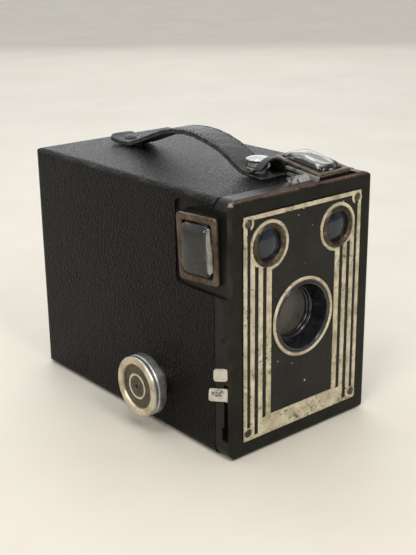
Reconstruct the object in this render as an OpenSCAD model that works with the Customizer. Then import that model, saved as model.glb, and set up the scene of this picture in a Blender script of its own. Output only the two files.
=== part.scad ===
// Vertical-format roll-film box camera: a covered steel case, and a front
// unit (casing, shutter, finders, light cone and film carrier) that slides
// out of it forwards. Millimetres. +Z up, front faces -Y, the winding knob
// is on -X. Origin: centre of the bottom face.

/* [Body] */
// Outside width of the body over the covering
body_w = 76; // [75:0.5:80]
// Outside height of the body
body_h = 103.7; // [103:0.1:107]
// Outside depth of the body, front casing to back
body_d = 132.6; // [132:0.1:137]
// Radius of the long and rear edges of the case
edge_r = 3.3; // [2.6:0.1:4.2]
// radius of the case edges around the back (mm)
back_r = 4.2; // [3.3:0.1:4.4]
// Thickness of the grained covering
cover_t = 0.6; // [0.5:0.1:0.8]
// Sheet thickness of the steel case
steel_t = 1.0; // [0.8:0.1:1.1]
// Depth of the front casing ahead of the seam
casing_d = 8.7; // [8.4:0.1:9.2]
// Radius of the casing corners seen from the front
casing_r = 4.5; // [3.5:0.1:5.5]

/* [Front plate] */
// Height of the lens axis above the base
lens_z = 51.3; // [50.8:0.1:51.8]
// Outside diameter of the pale ring round the lens
ring_d = 32.5; // [31.6:0.1:33]
// Sideways distance of each finder lens from the middle
finder_x = 18.35; // [18:0.05:18.7]
// Height of the finder lenses
finder_z = 84.2; // [83.8:0.1:84.6]
// Height that the pale trim stands above the plate
trim_t = 0.3; // [0.2:0.1:0.5]

/* [Finder windows] */
// How much prouder the rear edge of a window frame is than its front edge
frame_rise = 3.8; // [3:0.1:4.4]
// Thickness of the window frames
frame_t = 1.0; // [0.8:0.1:1.2]

/* [Winding] */
// Diameter of the winding knob
knob_d = 25.6; // [24:0.1:27]
// Thickness of the winding knob
knob_t = 6.4; // [5.5:0.1:7]
// Diameter of the film spool flanges
flange_d = 23; // [22:0.1:23.4]

/* [Strap] */
// Width of the carrying strap
strap_w = 13.4; // [12.8:0.1:14.4]
// Thickness of the carrying strap
strap_t = 2.0; // [1.6:0.1:2.2]

/* [Hidden] */
$fn = 64;
W = body_w/2;
H = body_h;
YF = -body_d/2;            // front face
YB = body_d/2;             // back face
SEAM = YF + casing_d;      // joint between casing and case
wall = cover_t + steel_t;
IX = W - wall;             // inside half width of the case
IZ0 = wall;                // inside floor
IZ1 = H - wall;            // inside ceiling
IYB = YB - wall;           // inside of the back wall
ct = 1.3;                  // casing sheet with its turned edge
lip_t = 0.8;
lip_g = 0.25;
ring_r = ring_d/2;
KY = -20.6;                // winding axis
KZ = 19.8;
SZ = 2*lens_z - KZ;        // supply spool height
SP_H = 32.8;               // half length of a spool
CAR_X = 33.4;              // inner face of a carrier side plate
car_t = 0.8;
GATE_Y = 57.5;             // front face of the film gate
ROLL_Z = 46.6;             // roller offset from the lens axis
STUD_Y = -40.3;
RIV_Y = 44.6;
// lever
LPX = -6; LPZ = 19.75;
LEV_A = 14.1;
// shutter disc
DPX = 0; DPZ = lens_z - 18.3;
// side pocket and top pocket
SP_Z0 = 66.3; SP_Z1 = 100; PK_Y = -35; PK_D = 1.2;
TP_X0 = 7.2; TP_X1 = 31;
// side window frame, front edge to rear edge
SF_X = -(W + 1.3); SF_Y = -61.05; SF_L = 18.7; SF_H = 26.7; SF_Z = 83.65;
SF_RX = 0.9; SF_RY = -4.4; // the side frame stands a little askew
SF_A = asin(frame_rise/18.7);
// top window frame
TF_X = 18.9; TF_Y = -64.5; TF_Z = H + 2.1; TF_W = 18.4; TF_L = 26.5;
TF_A = asin(frame_rise/26.5);

// ---------- helpers ----------
module rrect(w, h, r) {
  union() {
    square([w - 2*r, h], center = true);
    square([w, h - 2*r], center = true);
    for (sx = [-1, 1], sy = [-1, 1])
      translate([sx*(w/2 - r), sy*(h/2 - r)]) circle(r);
  }
}
module bx(x0, x1, y0, y1, z0, z1) {
  translate([x0, y0, z0]) cube([x1 - x0, y1 - y0, z1 - z0]);
}
// rounded rectangle in XZ, swept from y0 to y1
module ry(w, h, r, y0, y1, x, z) {
  translate([x, y1, z]) rotate([90, 0, 0]) linear_extrude(y1 - y0) rrect(w, h, r);
}
// YZ profile swept along X
module px(x0, x1) {
  translate([x0, 0, 0]) rotate([90, 0, 90]) linear_extrude(x1 - x0) children();
}
// XY profile swept along Z
module pz(z0, z1) {
  translate([0, 0, z0]) linear_extrude(z1 - z0) children();
}
module cy(x, z, r, y0, y1) {
  translate([x, y1, z]) rotate([90, 0, 0]) cylinder(r = r, h = y1 - y0);
}
module cx(y, z, r, x0, x1) {
  translate([x0, y, z]) rotate([0, 90, 0]) cylinder(r = r, h = x1 - x0);
}
module cz(x, y, r, z0, z1) {
  translate([x, y, z0]) cylinder(r = r, h = z1 - z0);
}
// case form inset by o, open at the front, rear edges rounded
module case_form(o, yf, yr) {
  w = body_w - 2*o; h = H - 2*o; r = max(edge_r - o, 0.6);
  intersection() {
    ry(w, h, r, yf, yr, 0, H/2);
    px(-w/2 - 1, w/2 + 1) translate([(yf - 20 + yr)/2, H/2]) rrect(yr - yf + 20, h, r);
    pz(-1, H + 1) translate([0, (yf - 20 + yr)/2]) rrect(w, yr - yf + 20, r);
  }
}
module case_notches(g) {
  // side pocket, open to the seam, rear corners rounded
  intersection() {
    bx(-W - 1, -W + 6, SEAM - 1, PK_Y + g, SP_Z0 - g, SP_Z1 + g);
    px(-W - 2, -W + 7) translate([(SEAM - 20 + PK_Y)/2 + g/2, (SP_Z0 + SP_Z1)/2])
      rrect(PK_Y - SEAM + 20 + g, SP_Z1 - SP_Z0 + 2*g, 2.5);
  }
  // top pocket
  intersection() {
    bx(TP_X0 - g, TP_X1 + g, SEAM - 1, PK_Y + g, H - 6, H + 1);
    pz(H - 7, H + 2) translate([(TP_X0 + TP_X1)/2, (SEAM - 20 + PK_Y)/2 + g/2])
      rrect(TP_X1 - TP_X0 + 2*g, PK_Y - SEAM + 20 + g, 2.5);
  }
}

// ---------- case ----------
// case form with the wider rounding of its back edges
module case_round(o, y0, y1, re) {
  w = body_w - 2*o; h = H - 2*o;
  intersection() {
    case_form(o, y0, y1);
    px(-w/2 - 1, w/2 + 1) translate([(y0 + y1 - 20)/2, H/2]) rrect(y1 - y0 + 20, h, re);
    pz(-1, H + 1) translate([0, (y0 + y1 - 20)/2]) rrect(w, y1 - y0 + 20, re);
  }
}
module outer_case() color([0.13, 0.13, 0.14]) {
  difference() {
    case_round(cover_t, SEAM, YB - cover_t, back_r - cover_t);
    case_form(wall, SEAM - 1, IYB);
    case_notches(0);
    cx(KY, KZ, 5.0, -W - 1, -W + 4);
    cy(15, 33, 6.2, IYB - 1, YB + 1);
    cz(0, STUD_Y, 3.7, H - 4, H + 1);
    cz(0, RIV_Y, 1.55, H - 4, H + 1);
  }
}
module case_covering() color([0.11, 0.10, 0.10]) {
  difference() {
    case_round(0, SEAM, YB, back_r);
    case_round(cover_t, SEAM - 1, YB - cover_t, back_r - cover_t);
    case_notches(0);
    cx(KY, KZ, 7.0, -W - 1, -W + 4);
    cy(15, 33, 7.6, IYB - 1, YB + 1);
    cz(0, STUD_Y, 4.6, H - 4, H + 1);
    cz(0, RIV_Y, 1.55, H - 4, H + 1);
  }
}
module red_window() color([0.45, 0.02, 0.02]) {
  cy(15, 33, 6.1, YB - wall, YB - wall + 0.8);
}
module window_ring() color([0.12, 0.12, 0.13]) {
  difference() {
    union() {
      cy(15, 33, 7.5, YB - cover_t, YB + 0.3);
      cy(15, 33, 6.1, YB - wall + 0.8, YB);
    }
    cy(15, 33, 5.2, YB - 3, YB + 1);
  }
}
module pressure_pad() color([0.16, 0.16, 0.17]) {
  // plate held towards the film by two bowed leaves on the back wall
  difference() {
    ry(60, 84, 2, GATE_Y + 2.2, GATE_Y + 2.8, 0, lens_z);
    cy(15, 33, 6.5, GATE_Y, GATE_Y + 6);
  }
  for (x = [-18, 18], z = [lens_z + 26, lens_z - 40]) {
    bx(x - 4, x + 4, GATE_Y + 2.8, IYB, z, z + 3);
  }
}
module strap() color([0.07, 0.06, 0.06]) {
  s0 = H + 0.1;
  // outline of the strap seen from the side, top line then bottom line
  top = [[51.8, s0 + 3.4], [48.2, s0 + 2.3], [44.7, s0 + 2.0], [40.6, s0 + 2.0], [36.2, s0 + 2.6],
    [28.6, s0 + 5.2], [21.2, s0 + 7.9], [14, s0 + 10.4], [7.1, s0 + 12.1], [0.3, s0 + 12.8],
    [-6.2, s0 + 12.8], [-12.6, s0 + 12.0], [-18.9, s0 + 10.6], [-25, s0 + 8.7],
    [-31, s0 + 6.0], [-34.6, s0 + 4.0], [-37.4, s0 + 2.6], [-40.3, s0 + 2.2], [-45, s0 + 2.0], [-50.2, s0 + 1.9]];
  n = len(top);
  difference() {
    px(-strap_w/2, strap_w/2)
      polygon(concat(top, [for (i = [n - 1:-1:0]) top[i] - [0, strap_t] ]));
    cz(0, STUD_Y, 4.6, H - 1, H + 9);
    cz(0, RIV_Y, 1.6, H - 1, H + 9);
  }
  // upper layer of the front tip, cupped upwards
  difference() {
    intersection() {
      cy(0, s0 + 1.2, 6.2, -50.2, -46.6);
      bx(-7, 7, -51, -46, s0 + 1.4, s0 + 9);
    }
    cy(0, s0 + 1.2, 5.1, -52, -45);
  }
}
module strap_rivet() color([0.62, 0.61, 0.58]) {
  cz(0, RIV_Y, 1.5, IZ1 - 0.5, H + 2.1);
  intersection() {
    cz(0, RIV_Y, 3.0, H + 2.15, H + 4);
    translate([0, RIV_Y, H - 0.6]) sphere(4.1);
  }
  cz(0, RIV_Y, 1.5, H + 2.0, H + 2.6);
  cz(0, RIV_Y, 2.6, IZ1 - 0.7, IZ1);
}
module strap_collar() color([0.68, 0.66, 0.62]) {
  difference() {
    union() {
      cz(0, STUD_Y, 4.2, H, H + 5.2);
      cz(0, STUD_Y, 4.55, H - cover_t, H + 0.05);
      cz(0, STUD_Y, 3.65, IZ1, H);
    }
    cz(0, STUD_Y, 3.3, IZ1 + 0.7, H + 4.6);
    cz(0, STUD_Y, 1.55, IZ1 - 1, H + 6);
  }
}
module key_bushing() color([0.60, 0.59, 0.56]) {
  difference() {
    union() {
      cx(KY, KZ, 6.8, -W - 0.8, -W + cover_t);
      cx(KY, KZ, 4.95, -W - 0.2, -W + wall);
    }
    cx(KY, KZ, 3.7, -W - 2, -W + 3);
  }
}

// ---------- latch ----------
module latch_stud() color([0.72, 0.70, 0.66]) {
  zc = H + 5.6;
  intersection() {
    cz(0, STUD_Y, 5.0, zc, zc + 1.7);
    translate([0, STUD_Y, zc + 1.7 - 9.0]) sphere(9.0);
  }
  cz(0, STUD_Y, 1.5, IZ1 - 1.7, zc + 0.3);
  cz(0, STUD_Y, 3.2, IZ1 + 1.0, IZ1 + 1.5);
}
module latch_spring() color([0.55, 0.55, 0.56]) {
  for (i = [0:3]) translate([0, STUD_Y, IZ1 + 1.9 + i*1.05])
    rotate_extrude() translate([2.4, 0]) circle(0.22, $fn = 24);
}

// ---------- winding ----------
module key_collar() color([0.58, 0.57, 0.55]) {
  difference() {
    union() {
      cx(KY, KZ, 3.64, -W - 4.2, -W + wall + 1.2);
      cx(KY, KZ, 5.2, -W - 4.2, -W - 3.5);
    }
    cx(KY, KZ, 2.05, -W - 6, -W + 6);
  }
}
module winding_knob() color([0.70, 0.68, 0.64]) {
  xb = -W - 4.5; r = knob_d/2;
  difference() {
    union() {
      cx(KY, KZ, r, xb - knob_t + 0.8, xb - 3.2);
      cx(KY, KZ, r - 0.5, xb - 3.3, xb - 2.6);
      cx(KY, KZ, r, xb - 2.7, xb);
      cx(KY, KZ, r - 0.7, xb - knob_t + 0.3, xb - 1);
    }
    // hollow behind
    cx(KY, KZ, r - 1.0, xb - 4.0, xb + 1);
    // face recess between outer and inner ring
    cx(KY, KZ, r - 3.3, xb - knob_t - 1, xb - knob_t + 1.1);
    cx(KY, KZ, 2.08, xb - knob_t - 2, xb + 1);
  }
  difference() {
    union() {
      cx(KY, KZ, 5.4, xb - knob_t + 0.2, xb - 1);
      cx(KY, KZ, 4.6, xb - knob_t, xb - 0.0);
    }
    cx(KY, KZ, 3.9, xb - knob_t - 1, xb - knob_t + 0.6);
    cx(KY, KZ, 2.08, xb - knob_t - 2, xb + 1);
  }
}
module winding_key() color([0.50, 0.50, 0.50]) {
  xb = -W - 4.5;
  cx(KY, KZ, 2.0, xb - knob_t + 0.9, -SP_H - 0.3);
  bx(-SP_H - 0.9, -SP_H + 2.4, KY - 0.5, KY + 0.5, KZ - 2.6, KZ + 2.6);
  cx(KY, KZ, 1.6, -SP_H - 0.9, -SP_H + 1.4);
}

// ---------- front unit ----------
// casing form inset by o, front edge rounded
module casing_form(o, yf, yr, re) {
  w = body_w - 2*o; h = H - 2*o;
  intersection() {
    ry(w, h, casing_r - o, yf, yr, 0, H/2);
    px(-w/2 - 1, w/2 + 1) translate([(yf + yr + 20)/2, H/2]) rrect(yr - yf + 20, h, re);
    pz(-1, H + 1) translate([0, (yf + yr + 20)/2]) rrect(w, yr - yf + 20, re);
  }
}
module front_casing() color([0.10, 0.10, 0.11]) {
  lw = 2*(IX - lip_g); lh = IZ1 - IZ0 - 2*lip_g; lr = max(edge_r - wall, 1.0);
  difference() {
    union() {
      difference() {
        casing_form(0, YF, SEAM - 0.3, 1.8);
        ry(body_w - 2*ct, H - 2*ct, casing_r - ct, YF + ct, SEAM + 1, 0, H/2);
      }
      // lip that slides inside the case
      difference() {
        ry(lw, lh, lr, YF + 1, SEAM + 5.5, 0, H/2);
        ry(lw - 2*lip_t, lh - 2*lip_t, 1.0, YF + ct - 0.3, SEAM + 7, 0, H/2);
      }
      // pocket floors
      px(-W + PK_D, -W + PK_D + 0.8) translate([(YF + 0.6 + PK_Y - 0.4)/2, (SP_Z0 + SP_Z1)/2])
        rrect(PK_Y - YF - 1.0, SP_Z1 - SP_Z0 - 0.6, 2.6);
      bx(-W + PK_D, -W + PK_D + 0.8, YF + 0.6, SEAM - 0.3, SP_Z0 - 0.5, SP_Z1 + 0.5);
      pz(H - PK_D - 0.8, H - PK_D) translate([(TP_X0 + TP_X1)/2, (YF + 0.6 + PK_Y - 0.4)/2])
        rrect(TP_X1 - TP_X0 - 0.6, PK_Y - YF - 1.0, 2.6);
      bx(TP_X0 - 0.5, TP_X1 + 0.5, YF + 0.6, SEAM - 0.3, H - PK_D - 0.8, H - PK_D);
      // latch tongue
      bx(-5, 5, SEAM + 4, -36.4, IZ1 - lip_g - lip_t, IZ1 - lip_g);
    }
    // pockets in the outer faces
    bx(-W - 1, -W + PK_D, YF + 1.3, SEAM + 20, SP_Z0, SP_Z1);
    bx(TP_X0, TP_X1, YF + 1.3, SEAM + 20, H - PK_D, H + 1);
    // openings under the finder windows
    bx(-W - 1, -W + 4, -59.6, -44.0, 73.2, 94.4);
    bx(12.6, 25.2, -61.6, -42.0, H - 4, H + 1);
    // plate seat
    ry(63.8, 91.3, 2.2, YF - 1, YF + 0.5, 0, 51.95);
    cy(0, lens_z, 14.3, YF - 1, YF + 3);
    for (s = [-1, 1]) cy(s*finder_x, finder_z, 7.1, YF - 1, YF + 3);
    for (s = [-1, 1], z = [10, 94.3]) cy(s*29, z, 0.85, YF - 1, YF + 3);
    cy(LPX, LPZ, 1.2, YF - 1, YF + 3);
    // slots for lever, time slide and aperture slide
    bx(-W - 1, -W + 5, -64.95, -62.7, 8.1, 32.3);
    bx(-W - 1, -W + 5, -63.5, -61.6, 8.1, 13.6);
    bx(-W - 1, -W + 5, -64.85, -63.0, 34.0, 39.3);
    bx(-4.2, 7.8, -62.5, -61.1, H - 4, H + 1);
    // pin hole in the tongue
    cz(0, STUD_Y, 1.75, IZ1 - 4, IZ1 + 1);
  }
}
module front_plate() color([0.06, 0.06, 0.07]) {
  difference() {
    ry(62.8, 90.35, 1.8, YF - 0.1, YF + 0.5, 0, 51.925);
    cy(0, lens_z, ring_r - 1.35, YF - 2, YF + 3);
    for (s = [-1, 1]) cy(s*finder_x, finder_z, 6.9, YF - 2, YF + 3);
    for (s = [-1, 1], z = [10, 94.3]) cy(s*29, z, 0.85, YF - 2, YF + 3);
  }
}
module stripe(x0, x1, z0, z1) {
  for (s = [-1, 1]) {
    a = s > 0 ? x0 : -x1; b = s > 0 ? x1 : -x0;
    bx(a, b, YF - 0.1 - trim_t, YF - 0.1, z0, z1);
  }
}
module plate_trim() color([0.80, 0.76, 0.64]) {
  difference() {
    union() {
      stripe(29.6, 31.35, 7.2, 97.05);
      stripe(25.8, 27.9, 7.2, finder_z);
      stripe(21.7, 23.8, 7.2, finder_z);
      stripe(17.2, 19.7, 7.2, finder_z);
      for (s = [-1, 1]) cy(s*finder_x, finder_z, 9.8, YF - 0.1 - trim_t, YF - 0.1);
      bx(-31, 31, YF - 0.1 - trim_t, YF - 0.1, 95.4, 97.05);
      // lobes round the upper pins
      for (s = [-1, 1]) cy(s*29, 94.3, 2.7, YF - 0.1 - trim_t, YF - 0.1);
      bx(-31, 31, YF - 0.1 - trim_t, YF - 0.1, 6.8, 14.6);
    }
    for (s = [-1, 1]) cy(s*finder_x, finder_z, 8.5, YF - 2, YF + 1);
    for (s = [-1, 1], z = [10, 94.3]) cy(s*29, z, 1.75, YF - 2, YF + 1);
    for (s = [-1, 1]) {
      a = s > 0 ? 27.9 : -29.6; bx(a, a + 1.7, YF - 2, YF + 1, 12, 93);
      b = s > 0 ? 23.8 : -25.8; bx(b, b + 2.0, YF - 2, YF + 1, 8.1, 77);
      c = s > 0 ? 19.7 : -21.7; bx(c, c + 2.0, YF - 2, YF + 1, 14.2, 76);
    }
  }
}
module plate_pins() color([0.60, 0.57, 0.50]) {
  for (s = [-1, 1], z = [10, 94.3]) {
    cy(s*29, z, 0.8, YF, YF + 2.0);
    intersection() {
      cy(s*29, z, 1.6, YF - 0.9, YF - 0.1);
      translate([s*29, YF + 1.3, z]) sphere(2.2);
    }
    cy(s*29, z, 0.8, YF - 0.3, YF + 0.2);
  }
}
module lens_rim() color([0.82, 0.78, 0.66]) {
  difference() {
    cy(0, lens_z, ring_r, YF - 0.9, YF - 0.1);
    cy(0, lens_z, ring_r - 1.35, YF - 2, YF + 1);
  }
}
module lens_hood() color([0.05, 0.05, 0.06]) {
  ri = ring_r - 1.4;
  translate([0, 0, lens_z]) rotate([90, 0, 0]) rotate_extrude()
    polygon([[ri, -YF - 0.45], [ri, -YF + 0.6], [ri - 0.7, -YF + 0.9], [ri - 1.5, -YF + 0.6],
      [ri - 2.0, -YF - 0.4], [10.0, -YF - 7.6], [9.4, -YF - 7.8], [9.4, -YF - 8.2],
      [12.0, -YF - 8.2], [13.6, -YF - 0.9], [14.0, -YF - 0.45]]);
}
module front_glass() color([0.45, 0.43, 0.38]) {
  cy(0, lens_z, 10.6, YF + 8.2, YF + 8.7);
}
module finder_bezels() color([0.42, 0.27, 0.18]) {
  for (s = [-1, 1]) translate([s*finder_x, 0, finder_z]) rotate([90, 0, 0]) rotate_extrude()
    polygon([[6.1, -YF - 1.2], [6.1, -YF + 0.2], [6.6, -YF + 0.9], [7.3, -YF + 1.0],
      [8.1, -YF + 0.7], [8.35, -YF + 0.1], [6.8, -YF + 0.1], [6.8, -YF - 1.2]]);
}
module finder_lenses() color([0.35, 0.42, 0.55]) {
  for (s = [-1, 1]) translate([s*finder_x, 0, finder_z]) intersection() {
    cy(0, 0, 6.05, YF - 0.6, YF + 2.2);
    translate([0, YF + 15.2, 0]) sphere(15.6, $fn = 200);
  }
}
module finder_box_side() color([0.09, 0.09, 0.10]) {
  difference() {
    bx(-IX + lip_g + lip_t + 0.05, -finder_x + 8.75, YF + ct, -40.5, 75.0, 93.4);
    bx(-37, -finder_x + 8.15, YF + ct + 0.6, -41.1, 75.6, 92.8);
    cy(-finder_x, finder_z, 6.9, YF, YF + 4);
  }
}
module finder_box_top() color([0.09, 0.09, 0.10]) {
  difference() {
    bx(finder_x - 8.75, finder_x + 8.75, YF + ct, -40.5, 73.4, IZ1 - lip_g - lip_t - 0.05);
    bx(finder_x - 8.15, finder_x + 8.15, YF + ct + 0.6, -41.1, 74.0, H + 1);
    cy(finder_x, finder_z, 6.9, YF, YF + 4);
  }
}
module finder_mirrors() color([0.75, 0.78, 0.80]) {
  translate([finder_x, -51.7, finder_z]) rotate([45, 0, 0])
    translate([-7.9, -11.8, -1.0]) cube([15.8, 23.6, 1.0]);
  translate([-finder_x, -51.7, finder_z]) rotate([0, 0, -45])
    translate([-10.2, 0, -8.4]) cube([20.4, 1.0, 16.8]);
}
module finder_wedge_side() color([0.08, 0.08, 0.09]) {
  difference() {
    intersection() {
      translate([SF_X, SF_Y, SF_Z]) rotate([SF_RX, SF_RY, SF_A])
        bx(frame_t, 14, 0.4, SF_L - 0.4, -SF_H/2 + 0.4, SF_H/2 - 0.4);
      bx(SF_X - 8, -W + PK_D, SF_Y - 4, SF_Y + SF_L + 4, SF_Z - SF_H, SF_Z + SF_H);
    }
    bx(-W - 9, -W + 6, -59.4, -44.0, 73.6, 94.0);
  }
}
module finder_wedge_top() color([0.08, 0.08, 0.09]) {
  difference() {
    intersection() {
      translate([TF_X, TF_Y, TF_Z]) rotate([TF_A, 0, 0])
        bx(-TF_W/2 + 0.4, TF_W/2 - 0.4, 0.4, TF_L - 0.4, -14, -frame_t);
      bx(TF_X - TF_W, TF_X + TF_W, YF + 1.3, 0, H - PK_D, H + 12);
    }
    bx(12.9, 24.9, -61.6, -42.0, H - 6, H + 9);
  }
}
module finder_ledge() color([0.62, 0.61, 0.58]) {
  // turned edge of the housing beside the top window
  translate([0, -64.0, H + 0.45]) rotate([5.7, 0, 0]) bx(8.7, TF_X - TF_W/2 + 0.4, 0, 17.4, -0.2, 0.75);
  bx(8.7, TF_X - TF_W/2 + 0.4, -64.0, -47.5, H - PK_D, H + 0.5);
}
module finder_frame_side() color([0.42, 0.28, 0.18]) {
  translate([SF_X, SF_Y, SF_Z]) rotate([SF_RX, SF_RY, SF_A]) difference() {
    translate([frame_t, 0, 0]) rotate([0, -90, 0]) linear_extrude(frame_t)
      translate([0, SF_L/2]) rrect(SF_H, SF_L, 1.2);
    translate([frame_t + 1, 0, 0]) rotate([0, -90, 0]) linear_extrude(frame_t + 2)
      translate([0, SF_L/2]) rrect(20.6, 13.2, 2.0);
  }
}
module finder_frame_top() color([0.42, 0.28, 0.18]) {
  translate([TF_X, TF_Y, TF_Z]) rotate([TF_A, 0, 0]) difference() {
    translate([0, TF_L/2, -frame_t]) linear_extrude(frame_t) rrect(TF_W, TF_L, 1.2);
    translate([0, TF_L/2, -frame_t - 1]) linear_extrude(frame_t + 2) rrect(13.2, 20.6, 2.0);
  }
}
module finder_glass_side() color([0.55, 0.62, 0.70]) {
  translate([SF_X, SF_Y + 0, SF_Z]) rotate([SF_RX, SF_RY, SF_A]) intersection() {
    translate([frame_t, SF_L/2, 0]) rotate([0, -90, 0]) linear_extrude(frame_t + 5) rrect(20.4, 13.0, 1.9);
    translate([30.2, SF_L + 1, 0]) rotate([90, 0, 0]) cylinder(r = 33.3, h = SF_L + 2, $fn = 360);
  }
}
module finder_glass_top() color([0.55, 0.62, 0.70]) {
  translate([TF_X, TF_Y, TF_Z]) rotate([TF_A, 0, 0]) intersection() {
    translate([0, TF_L/2, -frame_t]) linear_extrude(frame_t + 5) rrect(13.0, 20.4, 1.9);
    translate([-TF_W/2, TF_L/2, -30.2]) rotate([0, 90, 0]) cylinder(r = 33.3, h = TF_W, $fn = 360);
  }
}
module shutter_board() color([0.14, 0.14, 0.15]) {
  difference() {
    ry(2*(IX - lip_g - lip_t) - 0.2, 68.5, 1.5, -55.3, -54.3, 0, 37.6);
    cy(0, lens_z, 4.0, -56, -54);
    cy(DPX, DPZ, 1.5, -56, -54);
  }
  // feet that tie the board to the casing front
  for (s = [-1, 1], z = [6, 66]) bx(s*31.5 - 1.5, s*31.5 + 1.5, YF + ct, -55.3, z - 1.2, z + 1.2);
}
module lens_cell() color([0.20, 0.20, 0.20]) {
  difference() {
    cy(0, lens_z, 7.0, -54.3, -49.6);
    cy(0, lens_z, 6.05, -53.8, -49);
    cy(0, lens_z, 4.2, -55, -49);
  }
}
module taking_lens() color([0.70, 0.76, 0.80]) {
  difference() {
    intersection() {
      cy(0, lens_z, 6.0, -53.8, -50.2);
      translate([0, -80.7, lens_z]) sphere(30);
    }
    translate([0, -83.6, lens_z]) sphere(31.0);
  }
}
// square funnel grown by e, from y0 to y1
module funnel(e, y0, y1) {
  k = (41.0 - 7.4)/(GATE_Y + 54.3); kx = (28.5 - 7.4)/(GATE_Y + 54.3);
  a0 = 7.4 + e + k*(y0 + 54.3); a1 = 7.4 + e + k*(y1 + 54.3);
  b0 = 7.4 + e + kx*(y0 + 54.3); b1 = 7.4 + e + kx*(y1 + 54.3);
  intersection() {
    px(-40, 40) polygon([[y0, lens_z - a0], [y1, lens_z - a1], [y1, lens_z + a1], [y0, lens_z + a0]]);
    pz(-5, H + 5) polygon([[-b0, y0], [b0, y0], [b1, y1], [-b1, y1]]);
  }
}
module light_cone() color([0.07, 0.07, 0.07]) {
  difference() {
    funnel(0.7, -54.3, GATE_Y);
    funnel(0, -55.3, GATE_Y + 1);
  }
}
module film_carrier() color([0.15, 0.15, 0.16]) {
  z0 = lens_z - 48.9; z1 = lens_z + 48.9;
  difference() {
    union() {
      for (x = [-CAR_X - car_t, CAR_X]) px(x, x + car_t)
        polygon([[-54.3, z0 + 2.5], [GATE_Y + 1.6, z0 + 2.5], [GATE_Y + 1.6, z1 - 2.5], [GATE_Y - 0.5, z1],
          [-33, z1], [-38.5, 92], [-38.5, 71], [-54.3, 71]]);
      for (s = [-1, 1]) bx(-CAR_X - 0.1, CAR_X + 0.1, GATE_Y, GATE_Y + 0.8,
        s > 0 ? lens_z + 41.0 : lens_z - 43.7, s > 0 ? lens_z + 43.7 : lens_z - 41.0);
      for (s = [-1, 1]) bx(s > 0 ? 28.5 : -CAR_X - 0.1, s > 0 ? CAR_X + 0.1 : -28.5, GATE_Y, GATE_Y + 0.8,
        lens_z - 41.5, lens_z + 41.5);
    }
    // roller bearings
    for (s = [-1, 1]) cx(GATE_Y - 1.8, lens_z + s*45.2, 1.25, -40, 40);
    // pivot holes
    cx(KY, SZ, 2.22, -40, 40);
    cx(KY, KZ, 2.22, 20, 40);
    // open slot that lets the winding key pass as the unit slides
    bx(-CAR_X - 2, -CAR_X + 0.0, KY - 3.4, GATE_Y + 5, KZ - 3.4, KZ + 3.4);
  }
}
module spool_pivots() color([0.62, 0.60, 0.56]) {
  for (p = [[-1, SZ], [1, SZ], [1, KZ]]) {
    a = p[0] > 0 ? CAR_X - 2.8 : -CAR_X - 1.2; b = p[0] > 0 ? CAR_X + 1.2 : -CAR_X + 2.8;
    cx(KY, p[1], 2.2, a, b);
    c = p[0] > 0 ? CAR_X + 0.8 : -CAR_X - 1.5;
    cx(KY, p[1], 4.0, c, c + 0.7);
  }
}
module roller(z) {
  cx(GATE_Y - 1.8, z, 2.1, -CAR_X + 0.3, CAR_X - 0.3);
  cx(GATE_Y - 1.8, z, 1.2, -CAR_X - 1.2, CAR_X + 1.2);
}
module film_roller_top() color([0.55, 0.55, 0.55]) { roller(lens_z + 45.2); }
module film_roller_bottom() color([0.55, 0.55, 0.55]) { roller(lens_z - 45.2); }
module spool(z) {
  difference() {
    union() {
      cx(KY, z, 4.0, -SP_H, SP_H);
      for (x = [-SP_H, SP_H - 1.0]) cx(KY, z, flange_d/2, x, x + 1.0);
    }
    for (x = [-SP_H - 1, SP_H - 3.0]) cx(KY, z, 2.26, x, x + 4.0);
    for (x = [-SP_H - 1, SP_H - 3.0]) bx(x, x + 4.0, KY - 0.7, KY + 0.7, z - 2.9, z + 2.9);
  }
}
module supply_spool() color([0.16, 0.16, 0.15]) { spool(SZ); }
module takeup_spool() color([0.16, 0.16, 0.15]) { spool(KZ); }

// ---------- shutter ----------
module lever_pivot() color([0.60, 0.58, 0.55]) {
  cy(LPX, LPZ, 1.2, YF + 0.6, YF + ct);
  cy(LPX, LPZ, 1.5, YF + ct, -62.9);
  cy(LPX, LPZ, 2.4, -62.9, -62.3);
}
module disc_pivot() color([0.60, 0.58, 0.55]) {
  cy(DPX, DPZ, 1.5, -57.2, -54.0);
  cy(DPX, DPZ, 2.6, -57.6, -57.1);
}
module exposure_lever() color([0.84, 0.82, 0.76]) {
  // arm, drawn in the raised position, with a bent finger tab outside
  translate([LPX, 0, LPZ]) rotate([0, LEV_A, 0]) difference() {
    union() {
      translate([0, -63.85, 0]) rotate([90, 0, 0]) linear_extrude(0.8) union() {
        polygon([[-32.7, -2.3], [-32.7, 2.4], [0, 2.5], [6.5, 1.6], [6.5, -1.6], [0, -2.5]]);
        circle(3.4);
      }
      translate([-32.55, -64.25, 0.35]) rotate([0, -11, 0]) rotate([0, 0, 45])
        px(-0.38, 0.38) translate([3.3, 0]) rrect(7.6, 5.0, 0.9);
      cy(0, 0, 2.3, -64.0, -63.1);
      // spring ear pin
      cy(5.2, 0, 0.6, -64.0, -61.6);
    }
    cy(0, 0, 1.56, -66, -60);
  }
}
module shutter_disc() color([0.20, 0.20, 0.21]) {
  difference() {
    union() {
      cy(DPX, DPZ, 25.5, -56.5, -56.1);
      cy(DPX, DPZ, 3.0, -57.0, -55.5);
    }
    cy(DPX, DPZ, 1.56, -60, -50);
    // exposure hole, half a stroke away from the lens
    translate([DPX, 0, DPZ]) rotate([0, -49.5, 0]) {
      cy(0, 18.3, 4.6, -58, -55);
      for (a = [-8, 8]) rotate([0, a, 0]) cy(0, 18.3, 4.6, -58, -55);
    }
  }
  // drive pin
  translate([DPX, 0, DPZ]) rotate([0, -49.5, 0]) cy(0, -8, 0.7, -62.9, -56.1);
}
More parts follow.
